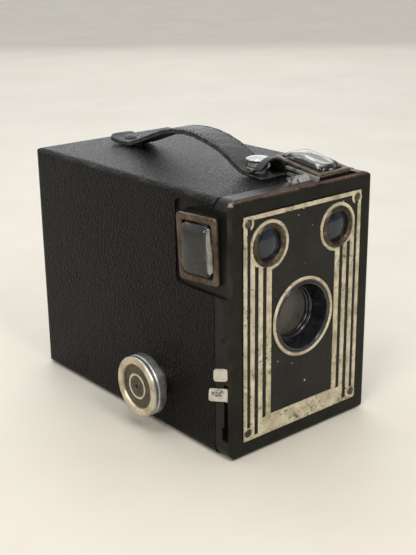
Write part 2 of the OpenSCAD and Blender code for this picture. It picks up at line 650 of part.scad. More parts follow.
module shutter_spring() color([0.55, 0.55, 0.57]) {
  // coil half way between the lever ear and the drive pin
  translate([8, -62.3, 22]) rotate([90, 0, 0]) {
    for (i = [0:2]) translate([0, 0, i*0.55 - 0.5]) rotate_extrude() translate([2.2, 0]) circle(0.22, $fn = 24);
    translate([-2.7, -4.6, -0.5]) rotate([-90, 0, 0]) cylinder(r = 0.22, h = 4.6, $fn = 24);
    translate([2.7, 0, 0.6]) rotate([-90, 0, 0]) cylinder(r = 0.22, h = 4.0, $fn = 24);
  }
}
module slide_guides() color([0.30, 0.30, 0.30]) {
  // two straps on the back of the casing front that hold the time slide
  for (x = [-32, -25]) difference() {
    bx(x - 1.5, x + 1.5, YF + ct, -63.3, 33.8, 39.6);
    bx(x - 2, x + 2, YF + ct - 1, -63.75, 34.55, 38.95);
  }
}
module time_slide() color([0.86, 0.84, 0.78]) {
  bx(-W + 0.1, -15.5, -64.6, -63.95, 34.7, 38.8);
  translate([-W + 0.1, -64.25, 36.5]) rotate([0, 0, 45])
    px(-0.38, 0.38) translate([2.25, 0]) rrect(5.4, 4.9, 1.1);
  bx(-17, -15.5, -64.6, -62.9, 34.7, 37);
}
module aperture_slide() color([0.62, 0.61, 0.58]) {
  difference() {
    union() {
      // tab leaning back, upright strip and step
      px(-3.5, 7.1) polygon([[-62.1, 67.4], [-62.1, H + 0.3], [-60.31, H + 2.58], [-59.84, H + 2.21],
        [-61.5, H + 0.09], [-61.5, 68.0], [-57.05, 68.0], [-57.05, 67.4]]);
      bx(-6, 7.1, -57.45, -57.05, 42.0, 67.7);
    }
    cy(0, lens_z, 3.5, -58, -57);
    cy(0, lens_z - 6, 1.9, -58, -57);
  }
}

outer_case();
case_covering();
red_window();
window_ring();
pressure_pad();
strap();
strap_rivet();
strap_collar();
key_bushing();
latch_stud();
latch_spring();
key_collar();
winding_knob();
winding_key();
front_casing();
front_plate();
plate_trim();
plate_pins();
lens_rim();
lens_hood();
front_glass();
finder_bezels();
finder_lenses();
finder_box_side();
finder_box_top();
finder_mirrors();
finder_wedge_side();
finder_wedge_top();
finder_ledge();
finder_glass_side();
finder_glass_top();
finder_frame_side();
finder_frame_top();
shutter_board();
lens_cell();
taking_lens();
light_cone();
film_carrier();
spool_pivots();
film_roller_top();
film_roller_bottom();
supply_spool();
takeup_spool();
lever_pivot();
disc_pivot();
exposure_lever();
shutter_disc();
shutter_spring();
slide_guides();
time_slide();
aperture_slide();
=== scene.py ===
import math
import bpy
import bmesh
from mathutils import Matrix, Vector


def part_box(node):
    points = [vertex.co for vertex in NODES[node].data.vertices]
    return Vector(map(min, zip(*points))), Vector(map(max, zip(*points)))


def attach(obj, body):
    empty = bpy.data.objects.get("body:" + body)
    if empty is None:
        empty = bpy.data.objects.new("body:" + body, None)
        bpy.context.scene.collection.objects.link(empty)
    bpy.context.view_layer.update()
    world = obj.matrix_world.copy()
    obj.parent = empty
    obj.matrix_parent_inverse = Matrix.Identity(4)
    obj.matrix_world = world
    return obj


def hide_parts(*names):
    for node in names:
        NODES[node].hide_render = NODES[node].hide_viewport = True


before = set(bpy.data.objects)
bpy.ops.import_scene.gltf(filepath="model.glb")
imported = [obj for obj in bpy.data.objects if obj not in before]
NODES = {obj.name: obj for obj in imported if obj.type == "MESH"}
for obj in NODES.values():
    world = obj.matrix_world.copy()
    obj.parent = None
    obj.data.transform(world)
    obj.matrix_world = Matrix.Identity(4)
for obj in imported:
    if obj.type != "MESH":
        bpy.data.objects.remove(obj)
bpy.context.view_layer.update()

SCENE = bpy.context.scene
MM = 0.001
PI = math.pi

# body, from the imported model
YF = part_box("front_casing")[0].y / MM            # front face
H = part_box("front_casing")[1].z / MM             # top face
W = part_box("case_covering")[1].x / MM            # half width
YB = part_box("case_covering")[1].y / MM
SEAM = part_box("case_covering")[0].y / MM
LZ = (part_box("lens_rim")[0].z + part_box("lens_rim")[1].z) / 2 / MM
KY = (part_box("winding_knob")[0].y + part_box("winding_knob")[1].y) / 2 / MM
KZ = (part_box("winding_knob")[0].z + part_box("winding_knob")[1].z) / 2 / MM


# ------------------------------------------------------------------ materials
class Mat:
    """A Principled material with short helpers; lengths are metres in object space."""

    def __init__(s, name, base=(0.5, 0.5, 0.5), rough=0.5, metal=0.0, spec=0.5, coat=0.0,
                 coat_rough=0.1, trans=0.0, ior=1.45, sheen=0.0, sheen_rough=0.5, sheen_tint=(1, 1, 1)):
        s.m = bpy.data.materials.new(name)
        s.m.use_nodes = True
        s.nt = s.m.node_tree
        s.nt.nodes.clear()
        s.out = s.nt.nodes.new("ShaderNodeOutputMaterial")
        s.b = s.nt.nodes.new("ShaderNodeBsdfPrincipled")
        s.nt.links.new(s.b.outputs[0], s.out.inputs[0])
        i = s.b.inputs
        i["Base Color"].default_value = (*base, 1)
        i["Roughness"].default_value = rough
        i["Metallic"].default_value = metal
        i["Specular IOR Level"].default_value = spec
        i["Coat Weight"].default_value = coat
        i["Coat Roughness"].default_value = coat_rough
        i["Transmission Weight"].default_value = trans
        i["IOR"].default_value = ior
        i["Sheen Weight"].default_value = sheen
        i["Sheen Roughness"].default_value = sheen_rough
        i["Sheen Tint"].default_value = (*sheen_tint, 1)
        s.obj = s.node("ShaderNodeTexCoord").outputs["Object"]

    def node(s, kind, **kw):
        n = s.nt.nodes.new(kind)
        for k, v in kw.items():
            setattr(n, k, v)
        return n

    def put(s, sock, v):
        if isinstance(v, bpy.types.NodeSocket):
            s.nt.links.new(v, sock)
        elif isinstance(v, (tuple, list)) and len(v) == 3 and sock.type == "RGBA":
            sock.default_value = (*v, 1)
        else:
            sock.default_value = v

    def math(s, op, a, b=None, c=None, clamp=False):
        n = s.node("ShaderNodeMath", operation=op, use_clamp=clamp)
        for i, v in enumerate((a, b, c)):
            if v is not None:
                s.put(n.inputs[i], v)
        return n.outputs[0]

    def vscale(s, v, k):
        n = s.node("ShaderNodeVectorMath", operation="MULTIPLY")
        s.put(n.inputs[0], v)
        n.inputs[1].default_value = k
        return n.outputs[0]

    def vadd(s, a, b):
        n = s.node("ShaderNodeVectorMath", operation="ADD")
        s.put(n.inputs[0], a)
        s.put(n.inputs[1], b)
        return n.outputs[0]

    def xyz(s, v=None):
        n = s.node("ShaderNodeSeparateXYZ")
        s.put(n.inputs[0], v or s.obj)
        return n.outputs

    def noise(s, scale, detail=3.0, rough=0.5, dist=0.0, vec=None, out=0):
        n = s.node("ShaderNodeTexNoise")
        s.put(n.inputs["Vector"], vec or s.obj)
        n.inputs["Scale"].default_value = scale
        n.inputs["Detail"].default_value = detail
        n.inputs["Roughness"].default_value = rough
        n.inputs["Distortion"].default_value = dist
        return n.outputs[out]

    def voro(s, scale, feature="F1", vec=None, out="Distance", rand=1.0, smooth=None):
        n = s.node("ShaderNodeTexVoronoi", feature=feature)
        s.put(n.inputs["Vector"], vec or s.obj)
        n.inputs["Scale"].default_value = scale
        n.inputs["Randomness"].default_value = rand
        if smooth is not None and feature == "SMOOTH_F1":
            n.inputs["Smoothness"].default_value = smooth
        return n.outputs[out]

    def span(s, v, a, b, c=0.0, d=1.0, smooth=True):
        n = s.node("ShaderNodeMapRange", interpolation_type="SMOOTHSTEP" if smooth else "LINEAR")
        s.put(n.inputs["Value"], v)
        for k, x in (("From Min", a), ("From Max", b), ("To Min", c), ("To Max", d)):
            n.inputs[k].default_value = x
        return n.outputs["Result"]

    def ramp(s, fac, stops, interp="LINEAR"):
        n = s.node("ShaderNodeValToRGB")
        n.color_ramp.interpolation = interp
        el = n.color_ramp.elements
        while len(el) > 1:
            el.remove(el[-1])
        for i, (p, c) in enumerate(stops):
            e = el[0] if i == 0 else el.new(p)
            e.position = p
            e.color = (*c, 1) if isinstance(c, (tuple, list)) else (c, c, c, 1)
        s.put(n.inputs[0], fac)
        return n.outputs[0]

    def mix(s, fac, a, b, blend="MIX"):
        n = s.node("ShaderNodeMix", data_type="RGBA", blend_type=blend)
        s.put(n.inputs[0], fac)
        s.put(n.inputs[6], a)
        s.put(n.inputs[7], b)
        return n.outputs[2]

    def mixf(s, fac, a, b):
        n = s.node("ShaderNodeMix", data_type="FLOAT")
        s.put(n.inputs[0], fac)
        s.put(n.inputs[2], a)
        s.put(n.inputs[3], b)
        return n.outputs[0]

    def bump(s, height, dist, strength=1.0, normal=None):
        n = s.node("ShaderNodeBump")
        n.inputs["Strength"].default_value = strength
        n.inputs["Distance"].default_value = dist
        s.put(n.inputs["Height"], height)
        if normal is not None:
            s.put(n.inputs["Normal"], normal)
        return n.outputs[0]

    def edge(s, radius, lo=0.02, hi=0.25, samples=4):
        """1 near a sharp edge of the mesh, 0 on flats."""
        b = s.node("ShaderNodeBevel", samples=samples)
        b.inputs["Radius"].default_value = radius
        g = s.node("ShaderNodeNewGeometry")
        d = s.node("ShaderNodeVectorMath", operation="DOT_PRODUCT")
        s.put(d.inputs[0], b.outputs[0])
        s.put(d.inputs[1], g.outputs["Normal"])
        return s.span(s.math("SUBTRACT", 1.0, d.outputs["Value"]), lo, hi)

    def near_edges(s, x=None, y=None, z=None):
        """Distance in metres from the nearest edge of a box given by its faces."""
        o = s.xyz()
        big = 9.0

        def gap(c, lim):
            if lim is None:
                return None
            lo, hi = lim
            g = None
            if lo is not None:
                g = s.math("SUBTRACT", c, lo * MM)
            if hi is not None:
                h = s.math("SUBTRACT", hi * MM, c)
                g = h if g is None else s.math("MINIMUM", g, h)
            return s.math("MAXIMUM", g, 0.0)

        a, b, c = (gap(o[k], lim) for k, lim in enumerate((x, y, z)))
        got = [g for g in (a, b, c) if g is not None]
        if len(got) == 2:
            return s.math("MAXIMUM", got[0], got[1])
        lo = s.math("MINIMUM", a, b)
        hi = s.math("MAXIMUM", a, b)
        return s.math("MAXIMUM", lo, s.math("MINIMUM", hi, c))

    def radial(s, axis, c):
        """Distance from an axis line: axis 'x', 'y' or 'z' through c (mm, the other two coordinates)."""
        o = s.xyz()
        p, q = {"x": (1, 2), "y": (0, 2), "z": (0, 1)}[axis]
        dp = s.math("SUBTRACT", o[p], c[0] * MM)
        dq = s.math("SUBTRACT", o[q], c[1] * MM)
        return s.math("SQRT", s.math("ADD", s.math("MULTIPLY", dp, dp), s.math("MULTIPLY", dq, dq)))

    def color(s, v):
        s.put(s.b.inputs["Base Color"], v)
        return s

    def rough(s, v):
        s.put(s.b.inputs["Roughness"], v)
        return s

    def metal(s, v):
        s.put(s.b.inputs["Metallic"], v)
        return s

    def normal(s, v):
        s.put(s.b.inputs["Normal"], v)
        return s


def m_covering():
    m = Mat("covering_grain", rough=0.42, spec=0.10)
    warp = m.vadd(m.obj, m.vscale(m.noise(520, 2, 0.5, out=1), (0.0012,) * 3))
    cell = m.voro(820, "F1", warp)
    fine = m.voro(2300, "F1", warp)
    n1 = m.noise(1700, 4, 0.65)
    h = m.math("ADD", m.math("MULTIPLY", m.span(cell, 0.05, 0.70, 1.0, 0.0), 0.60),
               m.math("ADD", m.math("MULTIPLY", m.span(fine, 0.0, 0.7, 1.0, 0.0), 0.25), m.math("MULTIPLY", n1, 0.40)))
    blot = m.noise(34, 4, 0.6)
    big = m.noise(13, 2, 0.5)
    # the grain's colour follows its height: painted shade in the pits and painted highlight on the pebble tops
    grain_light_and_shade = m.span(h, 0.42, 1.02)
    col = m.ramp(grain_light_and_shade, [(0.0, (0.0010, 0.0009, 0.0007)), (0.45, (0.0036, 0.0034, 0.0026)), (1.0, (0.023, 0.0215, 0.0165))])
    col = m.mix(m.span(blot, 0.35, 0.75), col, m.mix(0.5, col, (0.011, 0.0095, 0.006)))
    # rubbed corners and edges
    d = m.near_edges((-W, W), (None, YB), (0, H))
    rub = m.span(m.math("ADD", d, m.math("MULTIPLY", m.noise(260, 5, 0.7), 0.0022)), 0.0016, 0.0034, 1.0, 0.0)
    rub = m.math("MULTIPLY", rub, m.span(m.noise(60, 3, 0.6), 0.38, 0.62))
    col = m.mix(m.math("MULTIPLY", rub, 0.45), col, (0.085, 0.072, 0.055))
    dust = m.math("MULTIPLY", m.span(m.noise(800, 5, 0.75), 0.60, 0.70), m.span(big, 0.4, 0.7))
    col = m.mix(m.math("MULTIPLY", dust, 0.08), col, (0.10, 0.09, 0.075))
    m.color(col)
    m.rough(m.span(m.math("ADD", m.math("MULTIPLY", m.math("ADD", blot, big), 0.35), m.math("MULTIPLY", h, 0.3)), 0.3, 0.75, 0.24, 0.42, False))
    m.normal(m.bump(h, 0.00060, 1.0, m.bump(m.noise(45, 2, 0.5), 0.0010, 0.35)))
    return m.m


def m_casing():
    m = Mat("casing_enamel", rough=0.36, spec=0.15)
    mottle = m.noise(90, 5, 0.62)
    fine = m.noise(1100, 4, 0.65)
    col = m.ramp(mottle, [(0.3, (0.0050, 0.0047, 0.0039)), (0.7, (0.016, 0.0147, 0.0110))])
    # wear layers along the edges: brown under-coat, then bare metal
    o = m.xyz()
    n = m.noise(210, 6, 0.74)
    n2 = m.noise(620, 5, 0.72)
    wob = m.math("ADD", m.math("MULTIPLY", m.math("SUBTRACT", n, 0.5), 0.0034), m.math("MULTIPLY", m.math("SUBTRACT", n2, 0.5), 0.0022))
    fy = m.math("SUBTRACT", o[1], YF * MM)
    fz = m.math("SUBTRACT", H * MM, o[2])
    fx = m.math("SUBTRACT", W * MM, m.math("ABSOLUTE", o[0]))
    top = m.math("ADD", m.math("MAXIMUM", fy, fz), wob)
    side = m.math("ADD", m.math("MAXIMUM", m.math("ABSOLUTE", m.math("SUBTRACT", fy, 0.0012)), fx), wob)
    corner = m.math("ADD", m.math("MAXIMUM", m.math("MAXIMUM", fy, fz), fx), m.math("MULTIPLY", wob, 0.8))
    brown_t = m.math("MULTIPLY", m.span(top, 0.0007, 0.0016, 1.0, 0.0), m.span(n, 0.36, 0.5, 0.45, 1.0))
    brown_s = m.math("MULTIPLY", m.span(side, 0.0008, 0.0022, 1.0, 0.0), m.math("MULTIPLY", m.span(m.noise(38, 3, 0.6), 0.46, 0.62), 0.35))
    brown = m.math("MAXIMUM", brown_t, brown_s)
    bare = m.math("MAXIMUM", m.math("MULTIPLY", m.span(top, 0.0001, 0.0006, 1.0, 0.0), 0.55), m.math("MULTIPLY", m.span(corner, 0.0015, 0.0022, 1.0, 0.0), m.span(o[0], -0.030, -0.034)))
    chips = m.math("MULTIPLY", m.span(m.noise(420, 5, 0.78), 0.655, 0.69), m.span(m.noise(45, 3, 0.6), 0.46, 0.6))
    col = m.mix(m.math("MULTIPLY", brown, 0.85), col, m.ramp(n2, [(0.3, (0.030, 0.017, 0.010)), (0.6, (0.105, 0.062, 0.040)), (0.8, (0.17, 0.115, 0.08))]))
    col = m.mix(m.math("MULTIPLY", m.math("MAXIMUM", bare, m.math("MULTIPLY", chips, 0.45)), 0.85), col, (0.33, 0.26, 0.20))
    m.color(col)
    m.metal(m.math("MULTIPLY", bare, 0.5))
    scr = m.noise(260, 2, 0.5, vec=m.vscale(m.obj, (1, 1, 9)))
    m.rough(m.math("ADD", m.span(mottle, 0.3, 0.75, 0.25, 0.44, False), m.math("MULTIPLY", m.span(scr, 0.55, 0.75), 0.12)))
    # light orange-peel, and the shallow pressed channel above the time slide
    gy = m.math("MULTIPLY", m.span(o[1], -0.0640, -0.0636), m.span(o[1], -0.0611, -0.0607, 1.0, 0.0))
    gz = m.math("MULTIPLY", m.span(o[2], 0.0490, 0.0505), m.span(o[2], 0.0650, 0.0662, 1.0, 0.0))
    chan = m.math("MULTIPLY", m.math("MULTIPLY", gy, gz), m.span(o[0], -0.0360, -0.0355, 1.0, 0.0))
    h = m.math("ADD", m.math("MULTIPLY", mottle, 0.5), m.math("ADD", m.math("MULTIPLY", fine, 0.35), m.math("MULTIPLY", chips, -0.4)))
    m.normal(m.bump(h, 0.00020, 0.7, m.bump(chan, 0.0009, 1.0)))
    return m.m


def m_plate():
    m = Mat("plate_enamel", rough=0.26, spec=0.20)
    mottle = m.noise(75, 5, 0.6)
    col = m.ramp(mottle, [(0.3, (0.0080, 0.0077, 0.0065)), (0.7, (0.019, 0.0178, 0.0147))])
    o = m.xyz()
    high = m.span(o[2], 0.064, 0.090)
    spots = m.voro(230, "F1", m.vadd(m.obj, m.vscale(m.noise(900, 3, 0.6, out=1), (0.0011,) * 3)))
    pick = m.span(m.math("ADD", m.noise(150, 3, 0.6), m.math("MULTIPLY", high, 0.09)), 0.555, 0.59)
    chips = m.math("MULTIPLY", m.span(spots, 0.065, 0.10, 1.0, 0.0), pick)
    hair = m.math("MULTIPLY", m.span(m.noise(700, 2, 0.5, vec=m.vscale(m.obj, (1, 1, 0.05))), 0.70, 0.74), m.span(m.noise(60, 2), 0.5, 0.6))
    col = m.mix(m.math("MULTIPLY", chips, 0.9), col, (0.56, 0.52, 0.43))
    col = m.mix(m.math("MULTIPLY", hair, 0.2), col, (0.20, 0.18, 0.15))
    m.color(col)
    m.rough(m.span(mottle, 0.3, 0.75, 0.18, 0.36, False))
    m.normal(m.bump(m.math("ADD", mottle, m.math("MULTIPLY", chips, -0.6)), 0.00016, 0.6))
    return m.m


def m_cream():
    m = Mat("pale_trim", rough=0.40, spec=0.4)
    n0 = m.noise(170, 6, 0.68)
    base = m.ramp(n0, [(0.28, (0.26, 0.21, 0.13)), (0.46, (0.46, 0.40, 0.27)), (0.60, (0.60, 0.53, 0.38)), (0.76, (0.72, 0.655, 0.50))])
    n = m.noise(950, 5, 0.74)
    n3 = m.noise(430, 4, 0.7)
    reg = m.span(m.noise(75, 3, 0.6), 0.35, 0.66, -0.01, 0.085)
    o = m.xyz()
    low = m.span(o[2], 0.0155, 0.0135)
    thr = m.math("ADD", m.math("ADD", m.math("MULTIPLY", n, 0.65), m.math("MULTIPLY", n3, 0.35)), m.math("ADD", reg, m.math("MULTIPLY", low, 0.025)))
    e = m.edge(0.00045, 0.02, 0.3)
    thr = m.math("ADD", thr, m.math("MULTIPLY", e, 0.085))
    speck = m.span(thr, 0.610, 0.665)
    col = m.mix(m.math("MULTIPLY", speck, 0.88), base, (0.030, 0.025, 0.016))
    brown = m.span(m.noise(360, 4, 0.7), 0.53, 0.68)
    col = m.mix(m.math("MULTIPLY", brown, 0.45), col, (0.17, 0.115, 0.062))
    m.color(col)
    m.rough(m.mixf(speck, m.span(n, 0.3, 0.7, 0.30, 0.46, False), 0.55))
    m.normal(m.bump(m.math("ADD", m.math("MULTIPLY", n, 0.3), m.math("MULTIPLY", speck, -0.8)), 0.00009, 0.9))
    return m.m


def m_copper(name="tarnished_frame", dark=1.0, metal=0.6, dull=0.0):
    m = Mat(name, rough=0.42, metal=metal, spec=0.5 - dull)
    n = m.noise(190, 6, 0.72)
    n2 = m.noise(950, 5, 0.74)
    k = dark
    col = m.ramp(m.math("ADD", m.math("MULTIPLY", n, 0.55), m.math("MULTIPLY", n2, 0.45)),
                 [(0.34, (0.016 * k, 0.012 * k, 0.008 * k)), (0.46, (0.070 * k, 0.047 * k, 0.029 * k)),
                  (0.56, (0.145 * k, 0.104 * k, 0.070 * k)), (0.70, (0.27 * k, 0.215 * k, 0.15 * k))])
    e = m.edge(0.0005, 0.02, 0.22)
    bright = m.math("MULTIPLY", e, m.span(n2, 0.36, 0.56))
    col = m.mix(m.math("MULTIPLY", bright, 0.8), col, (0.46, 0.40, 0.30))
    m.color(col)
    m.rough(m.span(n2, 0.3, 0.75, 0.28 + dull, 0.56 + dull, False))
    m.normal(m.bump(m.math("ADD", m.math("MULTIPLY", n, 0.6), m.math("MULTIPLY", n2, 0.4)), 0.00020, 0.8))
    return m.m


def m_bezel():
    m = Mat("tarnished_ring", rough=0.32, metal=0.8)
    n = m.noise(260, 5, 0.72)
    col = m.ramp(n, [(0.30, (0.026, 0.018, 0.011)), (0.48, (0.074, 0.055, 0.036)), (0.60, (0.135, 0.110, 0.080)), (0.75, (0.27, 0.235, 0.18))])
    grime = m.span(m.noise(620, 4, 0.72), 0.50, 0.66)
    col = m.mix(m.math("MULTIPLY", grime, 0.7), col, (0.020, 0.015, 0.010))
    m.color(col)
    m.rough(m.span(n, 0.3, 0.7, 0.20, 0.44, False))
    m.normal(m.bump(n, 0.00012, 0.7))
    return m.m


def m_nickel(name="dull_nickel", tint=(0.56, 0.53, 0.48), rough=0.28, axis=None, centre=None, grime=0.5):
    m = Mat(name, rough=rough, metal=1.0)
    n = m.noise(190, 6, 0.68)
    n2 = m.noise(1100, 4, 0.7)
    hi = tuple(min(1.0, c * 1.18) for c in tint)
    lo = tuple(c * 0.55 for c in tint)
    col = m.ramp(n, [(0.30, lo), (0.52, tint), (0.75, hi)])
    spots = m.span(n2, 0.60, 0.70)
    col = m.mix(m.math("MULTIPLY", spots, grime), col, (0.075, 0.055, 0.038))
    h = m.math("MULTIPLY", n2, 0.25)
    if axis:
        r = m.radial(axis, centre)
        lines = m.math("SINE", m.math("MULTIPLY", r, 2 * PI / 0.00062))
        lines = m.math("ADD", lines, m.math("MULTIPLY", m.math("SINE", m.math("MULTIPLY", r, 2 * PI / 0.00023)), 0.5))
        h = m.math("ADD", h, m.math("MULTIPLY", lines, 0.10))
    m.color(col)
    m.rough(m.math("ADD", m.span(n, 0.3, 0.75, rough + 0.12, rough - 0.05, False), m.math("MULTIPLY", spots, 0.25)))
    m.normal(m.bump(h, 0.00006, 0.7))
    return m.m


def m_knob():
    m = Mat("knob_plate", rough=0.3, metal=1.0)
    r = m.radial("x", (KY, KZ))
    x = m.xyz()[0]
    n = m.noise(210, 5, 0.65)
    n2 = m.noise(1200, 4, 0.7)
    # face: warm raised rings, grimy olive recesses; rim: grey nickel
    face = m.span(x, -0.0478, -0.0484)
    warm = m.ramp(n, [(0.30, (0.37, 0.30, 0.20)), (0.52, (0.60, 0.52, 0.38)), (0.72, (0.78, 0.71, 0.56))])
    grey = m.ramp(n, [(0.30, (0.24, 0.235, 0.225)), (0.50, (0.48, 0.475, 0.465)), (0.74, (0.72, 0.71, 0.69))])
    # the small centre dimple is painted near-black: painted shade standing for the darkness of a hole
    centre_dimple_painted_shade = m.span(r, 0.0008, 0.0011, 1.0, 0.0)
    dirt = m.ramp(m.math("ADD", m.math("MULTIPLY", n2, 0.5), m.math("MULTIPLY", n, 0.5)),
                  [(0.35, (0.030, 0.024, 0.014)), (0.52, (0.085, 0.070, 0.045)), (0.68, (0.17, 0.145, 0.10))])
    ring_o = m.span(r, 0.0091, 0.0095)
    ring_i = m.math("MULTIPLY", m.span(r, 0.0044, 0.0047), m.span(r, 0.0053, 0.0056, 1.0, 0.0))
    raised = m.math("MAXIMUM", ring_o, ring_i)
    facecol = m.mix(centre_dimple_painted_shade, m.mix(raised, dirt, warm), (0.006, 0.005, 0.004))
    rear = m.span(x, -0.0455, -0.0462)
    side = m.mix(rear, m.mix(m.math("MULTIPLY", m.span(m.noise(320, 4, 0.7), 0.46, 0.62), 0.5), grey, (0.16, 0.13, 0.105)), grey)
    isface = m.math("MULTIPLY", m.span(r, 0.01235, 0.01265, 1.0, 0.0), m.span(x, -0.0462, -0.0466))
    col = m.mix(isface, side, facecol)
    spots = m.span(n2, 0.62, 0.72)
    col = m.mix(m.math("MULTIPLY", spots, 0.4), col, (0.09, 0.07, 0.045))
    m.color(col)
    rec = m.math("MULTIPLY", isface, m.math("SUBTRACT", 1.0, raised))
    m.metal(m.mixf(rec, 0.9, 0.45))
    m.rough(m.mixf(rec, m.span(n, 0.3, 0.75, 0.42, 0.26, False), 0.5))
    lines = m.math("SINE", m.math("MULTIPLY", r, 2 * PI / 0.0008))
    lines = m.math("ADD", lines, m.math("MULTIPLY", m.math("SINE", m.math("MULTIPLY", r, 2 * PI / 0.0003)), 0.6))
    h = m.math("ADD", m.math("MULTIPLY", n2, 0.3), m.math("MULTIPLY", m.math("MULTIPLY", lines, isface), m.mixf(rec, 0.10, 0.55)))
    m.normal(m.bump(h, 0.00007, 0.8))
    return m.m


def m_steel():
    m = Mat("plain_steel", rough=0.38, metal=1.0)
    n = m.noise(160, 5, 0.65)
    br = m.noise(900, 3, 0.6, vec=m.vscale(m.obj, (0.12, 1, 1)))
    m.color(m.ramp(n, [(0.3, (0.22, 0.215, 0.21)), (0.6, (0.42, 0.41, 0.40)), (0.8, (0.50, 0.49, 0.47))]))
    m.rough(m.span(br, 0.3, 0.7, 0.28, 0.5, False))
    m.normal(m.bump(br, 0.00004, 0.6))
    return m.m


def m_pale_metal():
    m = Mat("finger_worn_metal", rough=0.42, metal=0.25)
    n = m.noise(330, 5, 0.7)
    n2 = m.noise(900, 5, 0.75)
    col = m.ramp(n, [(0.30, (0.14, 0.135, 0.12)), (0.5, (0.28, 0.275, 0.255)), (0.72, (0.43, 0.42, 0.395))])
    grime = m.span(n2, 0.545, 0.62)
    blot = m.span(m.noise(300, 3, 0.6, dist=0.6), 0.54, 0.61)
    col = m.mix(m.math("MULTIPLY", m.math("MAXIMUM", m.math("MULTIPLY", grime, 0.7), blot), 0.85), col, (0.035, 0.030, 0.024))
    m.color(col)
    m.rough(m.span(n2, 0.3, 0.7, 0.32, 0.55, False))
    m.normal(m.bump(m.math("SUBTRACT", n2, m.math("MULTIPLY", grime, 0.6)), 0.00008, 0.7))
    return m.m


def m_white_tab():
    m = Mat("pale_tab", rough=0.38, spec=0.5)
    n = m.noise(300, 5, 0.7)
    n2 = m.noise(800, 5, 0.75)
    col = m.ramp(n, [(0.30, (0.30, 0.27, 0.215)), (0.52, (0.45, 0.415, 0.345)), (0.74, (0.56, 0.53, 0.46))])
    e = m.edge(0.0004, 0.02, 0.25)
    grime = m.span(m.math("ADD", n2, m.math("MULTIPLY", e, 0.07)), 0.615, 0.68)
    col = m.mix(m.math("MULTIPLY", grime, 0.7), col, (0.12, 0.10, 0.075))
    o = m.xyz()
    # rubbed dark patch on the lever's finger pad
    dy = m.math("DIVIDE", m.math("SUBTRACT", o[1], -0.0619), 0.0019)
    dz = m.math("DIVIDE", m.math("SUBTRACT", o[2], 0.0291), 0.0017)
    q = m.math("ADD", m.math("MULTIPLY", dy, dy), m.math("MULTIPLY", dz, dz))
    patch = m.math("MULTIPLY", m.span(q, 0.5, 1.2, 1.0, 0.0), m.span(m.noise(900, 5, 0.75, dist=0.6), 0.47, 0.52))
    col = m.mix(m.math("MULTIPLY", patch, 0.85), col, (0.045, 0.040, 0.035))
    m.color(col)
    m.rough(m.span(n2, 0.3, 0.7, 0.30, 0.5, False))
    m.normal(m.bump(m.math("SUBTRACT", m.math("MULTIPLY", n2, 0.5), m.math("MULTIPLY", grime, 0.6)), 0.00007, 0.7))
    return m.m


def m_inner(name="matt_black", base=(0.010, 0.010, 0.010), rough=0.72):
    m = Mat(name, rough=rough, spec=0.3)
    n = m.noise(420, 5, 0.7)
    b = base
    m.color(m.ramp(n, [(0.3, tuple(c * 0.7 for c in b)), (0.7, tuple(c * 1.6 for c in b))]))
    m.rough(m.span(n, 0.3, 0.7, rough - 0.1, rough + 0.1, False))
    m.normal(m.bump(n, 0.0001, 0.5))
    return m.m


def m_gloss_black():
    m = Mat("gloss_black", base=(0.003, 0.003, 0.004), rough=0.12, spec=0.5, coat=0.7, coat_rough=0.03)
    n = m.noise(300, 5, 0.65)
    dust = m.span(m.noise(1500, 5, 0.8), 0.60, 0.72)
    m.color(m.mix(m.math("MULTIPLY", dust, 0.30), m.ramp(n, [(0.3, (0.003, 0.003, 0.004)), (0.7, (0.008, 0.008, 0.010))]), (0.07, 0.07, 0.075)))
    m.rough(m.math("ADD", m.span(n, 0.3, 0.7, 0.10, 0.26, False), m.math("MULTIPLY", dust, 0.2)))
    m.normal(m.bump(n, 0.00014, 0.7))
    return m.m


def m_strap():
    m = Mat("strap_leather", rough=0.45, spec=0.55)
    warp = m.vadd(m.obj, m.vscale(m.noise(300, 3, 0.6, out=1), (0.0012,) * 3))
    pores = m.voro(1500, "F1", warp)
    n = m.noise(900, 5, 0.7)
    o = m.xyz()
    # creases run across the strap
    cr = m.noise(240, 5, 0.7, vec=m.vscale(m.obj, (0.22, 1.6, 0.5)))
    h = m.math("ADD", m.math("MULTIPLY", m.span(pores, 0.0, 0.7, 1.0, 0.0), 0.35),
               m.math("ADD", m.math("MULTIPLY", n, 0.3), m.math("MULTIPLY", m.span(cr, 0.3, 0.65), 0.6)))
    col = m.ramp(h, [(0.25, (0.003, 0.0028, 0.0026)), (0.65, (0.014, 0.0132, 0.0122)), (1.0, (0.045, 0.043, 0.040))])
    ax = m.math("ABSOLUTE", o[0])
    rim = m.math("MULTIPLY", m.span(ax, 0.0056, 0.0067), m.span(m.noise(330, 5, 0.7), 0.45, 0.65))
    col = m.mix(m.math("MULTIPLY", rim, 0.5), col, (0.095, 0.085, 0.075))
    m.color(col)
    m.rough(m.span(m.math("ADD", m.math("MULTIPLY", cr, 0.5), m.math("MULTIPLY", n, 0.5)), 0.3, 0.7, 0.32, 0.52, False))
    m.normal(m.bump(h, 0.00050, 1.0))
    return m.m


def m_thread():
    m = Mat("waxed_thread", rough=0.6, spec=0.3)
    tw = m.noise(2600, 3, 0.6)
    m.color(m.ramp(tw, [(0.3, (0.010, 0.009, 0.008)), (0.7, (0.065, 0.062, 0.057))]))
    m.normal(m.bump(tw, 0.00008, 0.8))
    return m.m


def m_glass(name="clear_glass", tint=(0.93, 0.96, 0.97), rough=0.0, haze=0.05, ior=1.5):
    m = Mat(name, base=tint, rough=rough, trans=1.0, ior=ior, coat=0.0)
    n = m.noise(160, 4, 0.65)
    smear = m.span(n, 0.50, 0.75)
    m.rough(m.span(smear, 0.0, 1.0, rough, rough + 0.05, False))
    m.put(m.b.inputs["Transmission Weight"], m.span(smear, 0.0, 1.0, 1.0 - haze * 0.3, 1.0 - haze * 1.6, False))
    m.color(m.mix(smear, tint, tuple(c * 0.85 for c in tint)))
    return m.m


